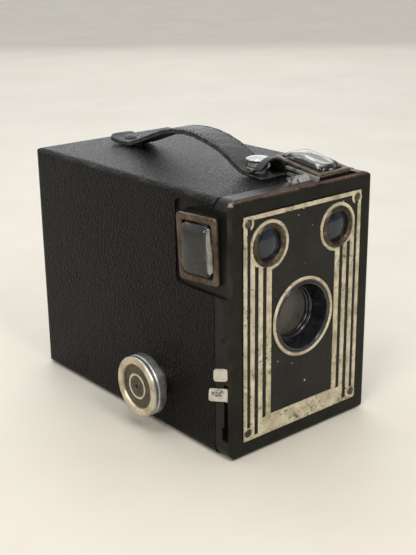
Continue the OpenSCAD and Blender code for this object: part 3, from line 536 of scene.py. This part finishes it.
def m_cover_glass():
    m = Mat("dusty_cover_glass", base=(0.07, 0.064, 0.052), rough=0.30, spec=0.35, coat=0.25, coat_rough=0.15)
    n = m.noise(160, 4, 0.6)
    d = m.span(m.noise(1300, 5, 0.8), 0.58, 0.72)
    m.color(m.mix(m.math("MULTIPLY", d, 0.2), m.ramp(n, [(0.3, (0.062, 0.056, 0.045)), (0.7, (0.085, 0.078, 0.064))]), (0.16, 0.15, 0.13)))
    m.rough(m.span(n, 0.3, 0.7, 0.26, 0.40, False))
    return m.m


def m_mirror():
    m = Mat("silvered_mirror", base=(0.2, 0.21, 0.22), rough=0.12, metal=1.0)
    n = m.noise(180, 5, 0.7)
    m.color(m.ramp(n, [(0.3, (0.035, 0.034, 0.030)), (0.5, (0.085, 0.084, 0.078)), (0.7, (0.15, 0.15, 0.145))]))
    m.rough(m.span(n, 0.4, 0.8, 0.03, 0.12, False))
    return m.m


def m_red():
    m = Mat("ruby_window", base=(0.35, 0.006, 0.006), rough=0.12, spec=0.5, coat=0.4, coat_rough=0.05)
    n = m.noise(300, 4, 0.7)
    m.color(m.ramp(n, [(0.3, (0.20, 0.004, 0.004)), (0.7, (0.36, 0.010, 0.008))]))
    m.rough(m.span(n, 0.3, 0.7, 0.08, 0.22, False))
    return m.m


MAT = {
    "covering": m_covering(), "casing": m_casing(), "plate": m_plate(), "cream": m_cream(),
    # the top frame's copy is darker, duller and less metallic than the side frame's: painted shade offsetting the
    # overhead light on the top
    "copper": m_copper("tarnished_frame", 0.82), "copper_top_painted_shade": m_copper("tarnished_frame_top_painted_shade", 0.62, 0.3, 0.15), "bezel": m_bezel(), "nickel": m_nickel(), "knob": m_knob(), "steel": m_steel(),
    "pale": m_pale_metal(), "tab": m_white_tab(), "inner": m_inner(), "case": m_inner("case_black", (0.016, 0.016, 0.017), 0.5),
    "gloss": m_gloss_black(), "strap": m_strap(), "thread": m_thread(), "glass": m_glass(),
    # finder lens glass: its dark blue tint is painted shade and painted reflection of the finder's inside, not the
    # glass's own colour
    # finder window glass: its dark grey tint is painted shade that dims the light seen through the finder windows
    "lensglass": m_glass("finder_lens_glass_painted_shade", (0.24, 0.32, 0.46), 0.0, 0.05, 1.50), "windowglass": m_glass("finder_window_glass_painted_shade", (0.31, 0.315, 0.28), 0.0, 0.05, 1.46), "pin": m_copper("pin_brass", 0.8),
    "cover": m_cover_glass(), "mirror": m_mirror(), "red": m_red(),
    "stud": m_nickel("stud_nickel", (0.46, 0.45, 0.41), 0.36, grime=0.5),
    "spool": m_inner("spool_enamel", (0.022, 0.021, 0.019), 0.35),
}

NODE_MAT = {
    "outer_case": "case", "case_covering": "covering", "red_window": "red", "window_ring": "case", "pressure_pad": "inner",
    "strap": "strap", "strap_rivet": "nickel", "strap_collar": "stud", "key_bushing": "nickel", "latch_stud": "stud",
    "latch_spring": "steel", "key_collar": "nickel", "winding_knob": "knob", "winding_key": "steel",
    "front_casing": "casing", "front_plate": "plate", "plate_trim": "cream", "plate_pins": "pin", "lens_rim": "cream",
    "lens_hood": "gloss", "front_glass": "cover", "finder_bezels": "bezel", "finder_lenses": "lensglass",
    "finder_box_side": "inner", "finder_box_top": "inner", "finder_mirrors": "mirror", "finder_wedge_side": "casing",
    "finder_wedge_top": "casing", "finder_ledge": "pale", "finder_glass_side": "windowglass", "finder_glass_top": "windowglass",
    "finder_frame_side": "copper", "finder_frame_top": "copper", "shutter_board": "inner", "lens_cell": "inner",
    "taking_lens": "glass", "light_cone": "inner", "film_carrier": "case", "spool_pivots": "steel",
    "film_roller_top": "steel", "film_roller_bottom": "steel", "supply_spool": "spool", "takeup_spool": "spool",
    "lever_pivot": "steel", "disc_pivot": "steel", "exposure_lever": "tab", "shutter_disc": "case",
    "shutter_spring": "steel", "slide_guides": "case", "time_slide": "tab", "aperture_slide": "pale",
}
for name, key in NODE_MAT.items():
    me = NODES[name].data
    if len(me.materials) == 0:
        me.materials.append(MAT[key])
    for k in range(len(NODES[name].material_slots)):
        NODES[name].material_slots[k].material = MAT[key]


# ------------------------------------------------------------------ mesh helpers
def make(name, verts, faces, body, mat, smooth=35, fix=True):
    """verts in mm, row frame."""
    me = bpy.data.meshes.new(name)
    me.from_pydata([(x * MM, y * MM, z * MM) for x, y, z in verts], [], faces)
    bm = bmesh.new()
    bm.from_mesh(me)
    bmesh.ops.remove_doubles(bm, verts=bm.verts, dist=1e-7)
    if fix:
        bmesh.ops.recalc_face_normals(bm, faces=bm.faces)
    bm.to_mesh(me)
    bm.free()
    me.shade_smooth()
    me.set_sharp_from_angle(angle=math.radians(smooth))
    o = bpy.data.objects.new(name, me)
    SCENE.collection.objects.link(o)
    me.materials.append(MAT[mat] if isinstance(mat, str) else mat)
    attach(o, body)
    return o


def fillet(pts, r, n=4, closed=True, skip=()):
    """Rounds the corners of a 2D outline. r is one radius or a list."""
    out = []
    m = len(pts)
    for i, p in enumerate(pts):
        if (not closed and i in (0, m - 1)) or i in skip:
            out.append(p)
            continue
        a = Vector(pts[i - 1]) - Vector(p)
        b = Vector(pts[(i + 1) % m]) - Vector(p)
        ri = r[i] if isinstance(r, (list, tuple)) else r
        la, lb = a.length, b.length
        if ri <= 0 or la < 1e-6 or lb < 1e-6:
            out.append(p)
            continue
        ang = a.angle(b)
        if ang > math.radians(172):
            out.append(p)
            continue
        t = min(ri / math.tan(ang / 2), la * 0.48, lb * 0.48)
        p0 = Vector(p) + a.normalized() * t
        p1 = Vector(p) + b.normalized() * t
        for k in range(n + 1):
            u = k / n
            q = p0 * (1 - u) ** 2 + Vector(p) * 2 * u * (1 - u) + p1 * u ** 2
            out.append((q.x, q.y))
    return out


def lathe(name, prof, axis, centre, body, mat, segs=96, closed=True, smooth=35):
    """prof: (position along the axis, radius) in mm; centre: the other two coordinates."""
    verts, faces, rings = [], [], []
    for a, r in prof:
        if r < 1e-6:
            rings.append([len(verts)])
            verts.append((a, 0.0, 0.0))
        else:
            rings.append(list(range(len(verts), len(verts) + segs)))
            for k in range(segs):
                t = 2 * PI * k / segs
                verts.append((a, r * math.cos(t), r * math.sin(t)))
    n = len(rings)
    for i in range(n if closed else n - 1):
        p, q = rings[i], rings[(i + 1) % n]
        if len(p) == 1 and len(q) == 1:
            continue
        for k in range(segs):
            k2 = (k + 1) % segs
            if len(p) == 1:
                faces.append((p[0], q[k], q[k2]))
            elif len(q) == 1:
                faces.append((p[k], q[0], p[k2]))
            else:
                faces.append((p[k], q[k], q[k2], p[k2]))
    c0, c1 = centre
    place = {"x": lambda a, u, v: (a, c0 + u, c1 + v), "y": lambda a, u, v: (c0 + u, a, c1 + v), "z": lambda a, u, v: (c0 + u, c1 + v, a)}[axis]
    return make(name, [place(*v) for v in verts], faces, body, mat, smooth)


def rloop(w, h, r, n=7):
    r = max(min(r, w / 2 - 1e-3, h / 2 - 1e-3), 1e-3)
    out = []
    for sx, sy, a0 in ((1, 1, 0), (-1, 1, 90), (-1, -1, 180), (1, -1, 270)):
        for k in range(n + 1):
            t = math.radians(a0 + 90 * k / n)
            out.append((sx * (w / 2 - r) + r * math.cos(t), sy * (h / 2 - r) + r * math.sin(t)))
    return out


def loops_mesh(name, loops, place, body, mat, cap0=True, cap1=True, ring=False, smooth=35, warp=None):
    """Skins a list of (loop, height) sections that all have the same number of points."""
    verts, faces = [], []
    n = len(loops[0][0])
    for lp, z in loops:
        for x, y in lp:
            p = (x, y, z)
            if warp:
                p = warp(*p)
            verts.append(place(*p))
    m = len(loops)
    for i in range(m if ring else m - 1):
        for k in range(n):
            k2 = (k + 1) % n
            a, b = i * n, ((i + 1) % m) * n
            faces.append((a + k, a + k2, b + k2, b + k))
    if not ring:
        if cap0:
            faces.append(tuple(range(n - 1, -1, -1)))
        if cap1:
            faces.append(tuple(range((m - 1) * n, m * n)))
    return make(name, verts, faces, body, mat, smooth)


def bevel_mod(o, width, segs=2, angle=35):
    b = o.modifiers.new("edge", "BEVEL")
    b.width = width * MM
    b.segments = segs
    b.limit_method = "ANGLE"
    b.angle_limit = math.radians(angle)
    b.harden_normals = False
    return b


# ------------------------------------------------------------------ winding knob
x0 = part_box("winding_knob")[0].x / MM       # face
x1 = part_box("winding_knob")[1].x / MM       # back
kd = min(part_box("winding_key")[0].x / MM - x0 - 0.06, 1.4)     # the dish stops just short of the key's end
print("knob dish", kd)
R = (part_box("winding_knob")[1].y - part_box("winding_knob")[0].y) / 2 / MM
prof = [(x1, R - 1.1), (x1, R - 0.35), (x1 - 0.35, R - 0.02), (x0 + 2.75, R), (x0 + 2.5, R - 0.30), (x0 + 2.2, R - 0.34),
        (x0 + 1.95, R - 0.05), (x0 + 0.85, R - 0.05), (x0 + 0.25, R - 0.30), (x0, R - 0.85), (x0 + 0.02, R - 1.9), (x0 + 0.12, R - 2.9),
        (x0 + 0.45, R - 3.3), (x0 + 1.05, R - 3.5), (x0 + 1.15, R - 4.1), (x0 + 0.98, R - 4.4), (x0 + 1.15, R - 4.7),
        (x0 + 1.12, R - 5.6), (x0 + 0.95, R - 5.9), (x0 + 1.12, R - 6.2), (x0 + 1.1, 5.9), (x0 + 0.75, 5.5), (x0 + 0.55, 5.25), (x0 + 0.55, 4.85), (x0 + 0.8, 4.55),
        (x0 + kd - 0.15, 4.3), (x0 + kd - 0.05, 3.4), (x0 + kd - 0.22, 3.1), (x0 + kd - 0.05, 2.8), (x0 + kd - 0.1, 2.0), (x0 + kd - 0.42, 1.75), (x0 + kd - 0.42, 1.3), (x0 + kd - 0.15, 1.1), (x0 + kd, 0.8), (x0 + kd, 0.0)]
back = [(x0 + 2.6, 0.0), (x0 + 2.6, 2.2), (x1, 2.2), (x1, 4.55), (x0 + 2.7, 4.6), (x0 + 2.7, R - 1.3)]
knob = lathe("winding_knob_turned", fillet(prof, 0.16, 3, closed=False) + back, "x", (KY, KZ), "winding_knob", "knob", 144, smooth=40)
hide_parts("winding_knob")

# ------------------------------------------------------------------ latch stud and its collar
SY = (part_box("latch_stud")[0].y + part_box("latch_stud")[1].y) / 2 / MM
z0, z1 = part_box("latch_stud")[0].z / MM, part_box("latch_stud")[1].z / MM
ci = H - 1.6
prof = [(z0, 0), (z0, 1.3), (z0 + 0.25, 1.5), (ci + 1.0, 1.5), (ci + 1.0, 3.2), (ci + 1.5, 3.2), (ci + 1.5, 1.5), (z1 - 1.7, 1.5), (z1 - 1.62, 3.9),
        (z1 - 1.72, 4.55), (z1 - 1.55, 4.92), (z1 - 1.15, 5.0), (z1 - 0.85, 4.75), (z1 - 0.45, 3.6), (z1 - 0.16, 2.0), (z1 - 0.04, 0.9), (z1 - 0.02, 0)]
stud = lathe("latch_stud_turned", fillet(prof, 0.12, 3, closed=False), "z", (0, SY), "latch", "stud", 96, closed=False, smooth=40)
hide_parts("latch_stud")
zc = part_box("strap_collar")[1].z / MM
prof = [(ci, 1.6), (ci, 3.6), (H - 0.6, 3.62), (H - 0.6, 4.5), (H + 0.05, 4.5), (H + 0.2, 4.15), (zc - 2.6, 4.12), (zc - 2.35, 3.75), (zc - 2.0, 3.75),
        (zc - 1.75, 4.15), (zc - 1.2, 4.18), (zc - 1.0, 3.85), (zc - 0.8, 3.85), (zc - 0.6, 4.15), (zc - 0.15, 4.12), (zc, 3.9), (zc, 1.6), (zc - 0.55, 1.6), (zc - 0.6, 3.3), (ci + 0.7, 3.3), (ci + 0.7, 1.6)]
collar = lathe("strap_collar_turned", fillet(prof, 0.1, 3), "z", (0, SY), "case", "stud", 96, smooth=40)
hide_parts("strap_collar")

# ------------------------------------------------------------------ lens hood and rim
rr = (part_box("lens_rim")[1].x) / MM
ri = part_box("lens_hood")[1].x / MM
prof = [(YF - 0.05, rr - 1.35), (YF - 0.1, rr), (YF - 0.55, rr), (YF - 0.85, rr - 0.35), (YF - 0.9, rr - 0.75), (YF - 0.78, rr - 1.15), (YF - 0.5, rr - 1.35)]
rim = lathe("lens_rim_turned", fillet(prof, 0.15, 3), "y", (0, LZ), "front_unit", "cream", 160, smooth=40)
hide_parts("lens_rim")
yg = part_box("front_glass")[0].y / MM
prof = [(YF + 0.45, ri), (YF - 0.40, ri), (YF - 0.66, ri - 0.22), (YF - 0.66, ri - 0.50), (YF - 0.32, ri - 0.72), (YF - 0.32, ri - 0.85), (YF - 0.60, ri - 1.05),
        (YF - 0.66, ri - 1.35), (YF - 0.45, ri - 1.62), (YF + 0.2, ri - 1.85), (YF + 1.4, ri - 2.15), (YF + 4.2, ri - 3.10), (YF + 5.9, ri - 3.75),
        (YF + 6.3, ri - 4.02), (YF + 6.1, ri - 4.25), (YF + 6.4, ri - 4.50), (YF + 7.0, ri - 4.66), (YF + 7.35, ri - 4.85), (YF + 7.1, ri - 5.1), (YF + 7.3, ri - 5.35), (YF + 7.9, ri - 5.45),
        (yg - 0.02, ri - 5.45), (yg - 0.02, ri - 2.7), (YF + 1.4, ri - 1.25), (YF + 0.45, ri - 0.85)]
hood = lathe("lens_hood_turned", fillet(prof, 0.12, 3), "y", (0, LZ), "front_unit", "gloss", 160, smooth=40)
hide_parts("lens_hood")

# ------------------------------------------------------------------ finder bezels and lenses
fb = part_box("finder_bezels")
FX = (fb[1].x / MM) - 8.35
FZ = (fb[0].z + fb[1].z) / 2 / MM
for s, tag in ((-1, "left"), (1, "right")):
    prof = [(YF + 1.15, 6.85), (YF - 0.1, 6.85), (YF - 0.1, 8.35), (YF - 0.5, 8.3), (YF - 0.85, 7.9), (YF - 1.0, 7.35), (YF - 0.95, 7.0), (YF - 0.6, 6.72),
            (YF - 0.3, 6.62), (YF - 0.35, 6.42), (YF - 0.1, 6.25), (YF + 1.15, 6.2)]
    bz = lathe("finder_bezel_" + tag, fillet(prof, 0.12, 3), "y", (s * FX, FZ), "front_unit", "bezel", 112, smooth=40)
    prof = [(YF + 2.2, 0.0), (YF + 2.2, 6.05), (YF + 0.95, 6.05)] + [(YF - 0.25 + 15.2 - math.sqrt(15.2 ** 2 - q * q), q) for q in (5.9, 5.2, 4.4, 3.6, 2.8, 2.0, 1.2, 0.5)] + [(YF - 0.25, 0.0)]
    ln = lathe("finder_lens_" + tag, prof, "y", (s * FX, FZ), "front_unit", "lensglass", 96, closed=False, smooth=30)
    if s < 0:
        first = (bz, ln)
    else:
        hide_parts("finder_bezels")
        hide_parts("finder_lenses")

# ------------------------------------------------------------------ finder window frames and domed glasses
AX = math.asin(3.8 / 26.5)
SIDE = Matrix.Rotation(math.asin(3.8 / 18.7), 3, "Z") @ Matrix.Rotation(math.radians(-4.4), 3, "Y") @ Matrix.Rotation(math.radians(0.9), 3, "X")


def top_place(x, y, z):
    c, s = math.cos(AX), math.sin(AX)
    y += 13.25
    return (18.9 + x, -64.5 + y * c - z * s, H + 2.1 + y * s + z * c)


def side_place(x, y, z):
    # x along the slope towards the back, y up, z outwards
    v = SIDE @ Vector((-z, x + 9.35, y))
    return (v.x - (W + 1.3), v.y - 61.05, v.z + 83.65)


def frame_piece(name, place, w, h, node, bow):
    sec = [(0.0, -0.95), (0.0, -0.45), (0.12, -0.14), (0.42, -0.02), (1.1, 0.0), (2.1, -0.04), (2.42, -0.12), (2.58, -0.32), (2.6, -0.95)]
    loops = []
    for d, z in sec:
        loops.append((rloop(w - 2 * d, h - 2 * d, max(1.5 - d * 0.15, 1.0), 8), z))

    def warp(x, y, z):
        # the pressed sheet is a little bowed and its corners are knocked
        k = max(abs(x) / (w / 2), abs(y) / (h / 2))
        z += bow * (1 - (2 * y / h) ** 2) * (0.5 + 0.5 * abs(2 * x / w)) + 0.06 * math.sin(x * 1.3 + y * 0.7) * k
        return x, y, z
    return loops_mesh(name, loops, place, "front_unit", "copper", ring=True, smooth=50, warp=warp)


fr = frame_piece("finder_frame_top_pressed", top_place, 18.4, 26.5, "finder_frame_top", 0.18)
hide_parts("finder_frame_top")
fr = frame_piece("finder_frame_side_pressed", side_place, 18.7, 26.7, "finder_frame_side", 0.12)
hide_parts("finder_frame_side")


def glass_piece(name, place, w, h, node):
    loops = [(rloop(w, h, 2.2, 8), -0.95), (rloop(w, h, 2.2, 8), 0.35), (rloop(w - 0.25, h - 0.25, 2.2, 8), 0.62)]
    for q, z in ((0.93, 1.30), (0.88, 1.72), (0.84, 1.90)):
        loops.append((rloop(w * q, h * q, 2.6, 8), z))
    for k in range(1, 12):
        q = 0.84 * (1 - k / 12)
        z = 1.90 + 1.15 * (1 - (q / 0.84) ** 2)
        loops.append((rloop(w * q, h * q, max(3.0 * q / 0.84, 0.05), 8), z))
    return loops_mesh(name, loops, place, "front_unit", "windowglass", smooth=60)


g = glass_piece("finder_glass_top_domed", top_place, 13.0, 20.4, "finder_glass_top")
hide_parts("finder_glass_top")
g = glass_piece("finder_glass_side_domed", side_place, 13.0, 20.4, "finder_glass_side")
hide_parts("finder_glass_side")

# ------------------------------------------------------------------ carrying strap
s0 = H + 0.1
TOP = [(51.9, 3.6), (48.2, 2.35), (44.7, 2.0), (40.6, 2.0), (36.2, 2.6), (28.6, 5.2), (21.2, 7.9), (14, 10.4), (7.1, 12.1), (0.3, 12.8),
       (-6.2, 12.8), (-12.6, 12.0), (-18.9, 10.6), (-25, 8.7), (-31, 6.0), (-34.6, 4.0), (-37.4, 2.6), (-40.3, 2.15), (-45, 2.0), (-50.2, 1.95)]


def spline(pts, n):
    """Even samples along a Catmull-Rom curve."""
    dense = []
    p = [pts[0]] + list(pts) + [pts[-1]]
    for i in range(1, len(p) - 2):
        for k in range(16):
            t = k / 16
            q = []
            for d in (0, 1):
                a, b, c, e = p[i - 1][d], p[i][d], p[i + 1][d], p[i + 2][d]
                q.append(0.5 * (2 * b + (c - a) * t + (2 * a - 5 * b + 4 * c - e) * t * t + (3 * b - a - 3 * c + e) * t ** 3))
            dense.append(tuple(q))
    dense.append(pts[-1])
    acc = [0.0]
    for a, b in zip(dense, dense[1:]):
        acc.append(acc[-1] + math.hypot(b[0] - a[0], b[1] - a[1]))
    out, j = [], 0
    for k in range(n + 1):
        t = acc[-1] * k / n
        while j < len(acc) - 2 and acc[j + 1] < t:
            j += 1
        u = (t - acc[j]) / max(acc[j + 1] - acc[j], 1e-9)
        out.append((dense[j][0] + (dense[j + 1][0] - dense[j][0]) * u, dense[j][1] + (dense[j + 1][1] - dense[j][1]) * u))
    return out, acc[-1]


def strap_layer(name, depth, thick, hw, arch, mat="strap"):
    """depth: how far the layer's mid surface lies below the strap's top line."""
    path, total = spline(TOP, 150)
    cols = 7
    verts, faces, rows = [], [], []
    for i, (y, h) in enumerate(path):
        a = path[max(i - 1, 0)]
        b = path[min(i + 1, len(path) - 1)]
        t = Vector((b[0] - a[0], b[1] - a[1])).normalized()
        nrm = Vector((t.y, -t.x))          # up side of a path that runs forwards
        if nrm.y < 0:
            nrm = -nrm
        s_here = total * i / (len(path) - 1)
        end = min(s_here, total - s_here)
        w = hw - (2.2 - math.sqrt(max(2.2 ** 2 - (2.2 - min(end, 2.2)) ** 2, 0))) * 0.9
        w += 0.12 * math.sin(y * 0.33) + 0.06 * math.sin(y * 1.1)
        g = 0.0
        u = (y - SY) / 5.1
        if abs(u) < 1:
            g = 4.55 * math.sqrt(1 - u * u)
        row = []
        for side in (-1, 1):
            half = []
            for j in range(cols + 1):
                x = side * (g + (w - g) * j / cols)
                crown = 0.16 * (1 - (x / w) ** 2)
                lift = 0.0
                if arch and y < -41.5:
                    q = min((-41.5 - y) / 6.2, 1.0)
                    q = q * q * (3 - 2 * q)
                    c = max(1 - (abs(x + 0.6) / 6.4) ** 2.2, 0.0)
                    lift = q * 6.1 * c ** 0.62
                wav = 0.05 * math.sin(y * 0.9 + x * 0.5)
                off = -depth + crown + wav
                px_, pz_ = y + nrm.x * off, s0 + h + nrm.y * off + lift
                half.append(len(verts))
                verts.append((x, px_, pz_))
            row.append(half)
        rows.append((row, g))
    for (ra, ga), (rb, gb) in zip(rows, rows[1:]):
        for k in (0, 1):
            for j in range(cols):
                q = (ra[k][j], ra[k][j + 1], rb[k][j + 1], rb[k][j])
                faces.append(q if k else q[::-1])
        if ga == 0 and gb == 0:
            pass
    o = make(name, verts, faces, "case", mat, smooth=180)
    me = o.data
    so = o.modifiers.new("thick", "SOLIDIFY")
    so.thickness = thick * MM
    so.offset = 0
    bv = bevel_mod(o, 0.22, 2, 50)
    return o


top_layer = strap_layer("strap_upper_layer", 0.52, 0.98, 6.6, True)
low_layer = strap_layer("strap_lower_layer", 1.50, 0.94, 6.7, False)
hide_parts("strap")


def stitches(name, offx, start, stop):
    path, total = spline(TOP, 400)
    verts, faces = [], []
    step, ln, r = 2.3, 1.6, 0.2
    n = int(total / step)
    for side in (-1, 1):
        for k in range(n):
            sA = k * step + 0.5
            if not (start < sA < total - stop):
                continue

            def at(sx):
                i = min(max(sx / total * 400, 0), 399.999)
                j = int(i)
                u = i - j
                return (path[j][0] * (1 - u) + path[j + 1][0] * u, path[j][1] * (1 - u) + path[j + 1][1] * u)
            ring0 = None
            for q in range(7):
                t = q / 6
                y, h = at(sA + ln * t)
                rad = r * math.sqrt(max(1 - (2 * t - 1) ** 2, 0.0)) * 1.0 + 0.02
                dip = -0.16 * (2 * t - 1) ** 4
                ids = []
                for m in range(6):
                    an = 2 * PI * m / 6
                    ids.append(len(verts))
                    verts.append((side * offx + rad * math.cos(an), y, s0 + h + 0.07 + dip + rad * math.sin(an) * 0.8))
                if ring0:
                    for m in range(6):
                        faces.append((ring0[m], ring0[(m + 1) % 6], ids[(m + 1) % 6], ids[m]))
                else:
                    faces.append(tuple(ids[::-1]))
                ring0 = ids
            faces.append(tuple(ring0))
    return make(name, verts, faces, "case", "thread", smooth=80)


stitches("strap_stitching", 5.35, 3.0, 17.5)

# rivet at the back of the strap
RY = (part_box("strap_rivet")[0].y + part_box("strap_rivet")[1].y) / 2 / MM
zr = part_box("strap_rivet")[1].z / MM
prof = [(H - 2.3, 0), (H - 2.3, 2.6), (H - 1.6, 2.6), (H - 1.6, 1.5), (H + 2.05, 1.5), (H + 2.1, 2.75), (H + 2.25, 3.0), (H + 2.5, 2.9), (zr - 0.45, 2.2), (zr - 0.1, 1.1), (zr, 0)]
rv = lathe("strap_rivet_domed", fillet(prof, 0.1, 3, closed=False), "z", (0, RY), "case", "strap", 64, closed=False, smooth=40)
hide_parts("strap_rivet")

# small edges on pressed and cut parts
for nm, wd in (("plate_trim", 0.08), ("exposure_lever", 0.14), ("time_slide", 0.14), ("aperture_slide", 0.12), ("finder_ledge", 0.12), ("plate_pins", 0.08)):
    bevel_mod(NODES[nm], wd, 2, 40)

# ------------------------------------------------------------------ stage, light and camera
fl = bpy.data.meshes.new("floor")
fl.from_pydata([(-3, -3, 0), (3, -3, 0), (3, 3, 0), (-3, 3, 0)], [], [(0, 1, 2, 3)])
floor = bpy.data.objects.new("floor", fl)
SCENE.collection.objects.link(floor)
fm = Mat("floor_paint", base=(0.72, 0.67, 0.57), rough=0.55, spec=0.3)
fm.color(fm.ramp(fm.noise(9, 4, 0.6), [(0.35, (0.585, 0.54, 0.455)), (0.65, (0.62, 0.58, 0.495))]))
fl.materials.append(fm.m)

world = bpy.data.worlds.new("studio")
SCENE.world = world
world.use_nodes = True
wn = world.node_tree
bg = wn.nodes["Background"]
wt = wn.nodes.new("ShaderNodeTexCoord")
wd = wn.nodes.new("ShaderNodeVectorMath")
wd.operation = "DOT_PRODUCT"
wd.inputs[1].default_value = (-0.10, 0.62, 0.78)
wn.links.new(wt.outputs["Generated"], wd.inputs[0])
wr = wn.nodes.new("ShaderNodeMapRange")
wr.interpolation_type = "SMOOTHSTEP"
for key_, val_ in (("From Min", -0.55), ("From Max", 0.75), ("To Min", 0.16), ("To Max", 1.15)):
    wr.inputs[key_].default_value = val_
wn.links.new(wd.outputs["Value"], wr.inputs["Value"])
wn.links.new(wr.outputs["Result"], bg.inputs[1])
bg.inputs[0].default_value = (0.97, 0.98, 1.0, 1)


def area(name, loc, target, size, power, color=(1, 1, 1), size_y=None):
    d = bpy.data.lights.new(name, "AREA")
    d.energy = power
    d.color = color
    d.shape = "RECTANGLE"
    d.size = size
    d.size_y = size_y or size
    o = bpy.data.objects.new(name, d)
    SCENE.collection.objects.link(o)
    o.location = loc
    o.rotation_euler = (Vector(target) - Vector(loc)).to_track_quat("-Z", "Y").to_euler()
    return o


area("wall_back", (0.80, 1.00, 0.46), (0, 0.02, 0.10), 1.0, 2.6, (0.96, 0.975, 1.0), 0.5)
area("overhead", (0.10, 0.25, 0.75), (0, 0.02, 0.08), 0.5, 2.2, (0.95, 0.97, 1.0), 0.7)
area("top_left", (-0.30, -0.20, 0.70), (0, -0.06, 0.05), 0.14, 1.3, (0.97, 0.98, 1.0), 0.22)
area("key_left", (-0.80, -0.40, 0.50), (0, 0, 0.05), 0.35, 2.6, (1.0, 0.985, 0.96), 0.4)
area("front_up", (-0.10, -0.85, 0.75), (0, -0.05, 0.05), 0.30, 4.6, (1.0, 0.98, 0.95), 0.3)

cam_data = bpy.data.cameras.new("camera")
cam = bpy.data.objects.new("camera", cam_data)
SCENE.collection.objects.link(cam)
AZ, EL, ROLL = math.radians(-39.9054171), math.radians(19.02070475), math.radians(-0.69828984)
back_v = Vector((math.sin(AZ) * math.cos(EL), -math.cos(AZ) * math.cos(EL), math.sin(EL)))
right = (-back_v).cross(Vector((0, 0, 1))).normalized()
up = right.cross(-back_v)
r2 = right * math.cos(ROLL) + up * math.sin(ROLL)
u2 = -right * math.sin(ROLL) + up * math.cos(ROLL)
cam.matrix_world = Matrix(((r2.x, u2.x, back_v.x, -0.26824325), (r2.y, u2.y, back_v.y, -0.32950600), (r2.z, u2.z, back_v.z, 0.19659780), (0, 0, 0, 1)))
cam_data.sensor_width = 36.0
cam_data.lens = 1022.3068 * 36.0 / 555.0
cam_data.clip_start = 0.01
SCENE.camera = cam
SCENE.view_settings.view_transform = "Standard"
SCENE.view_settings.exposure = -0.20
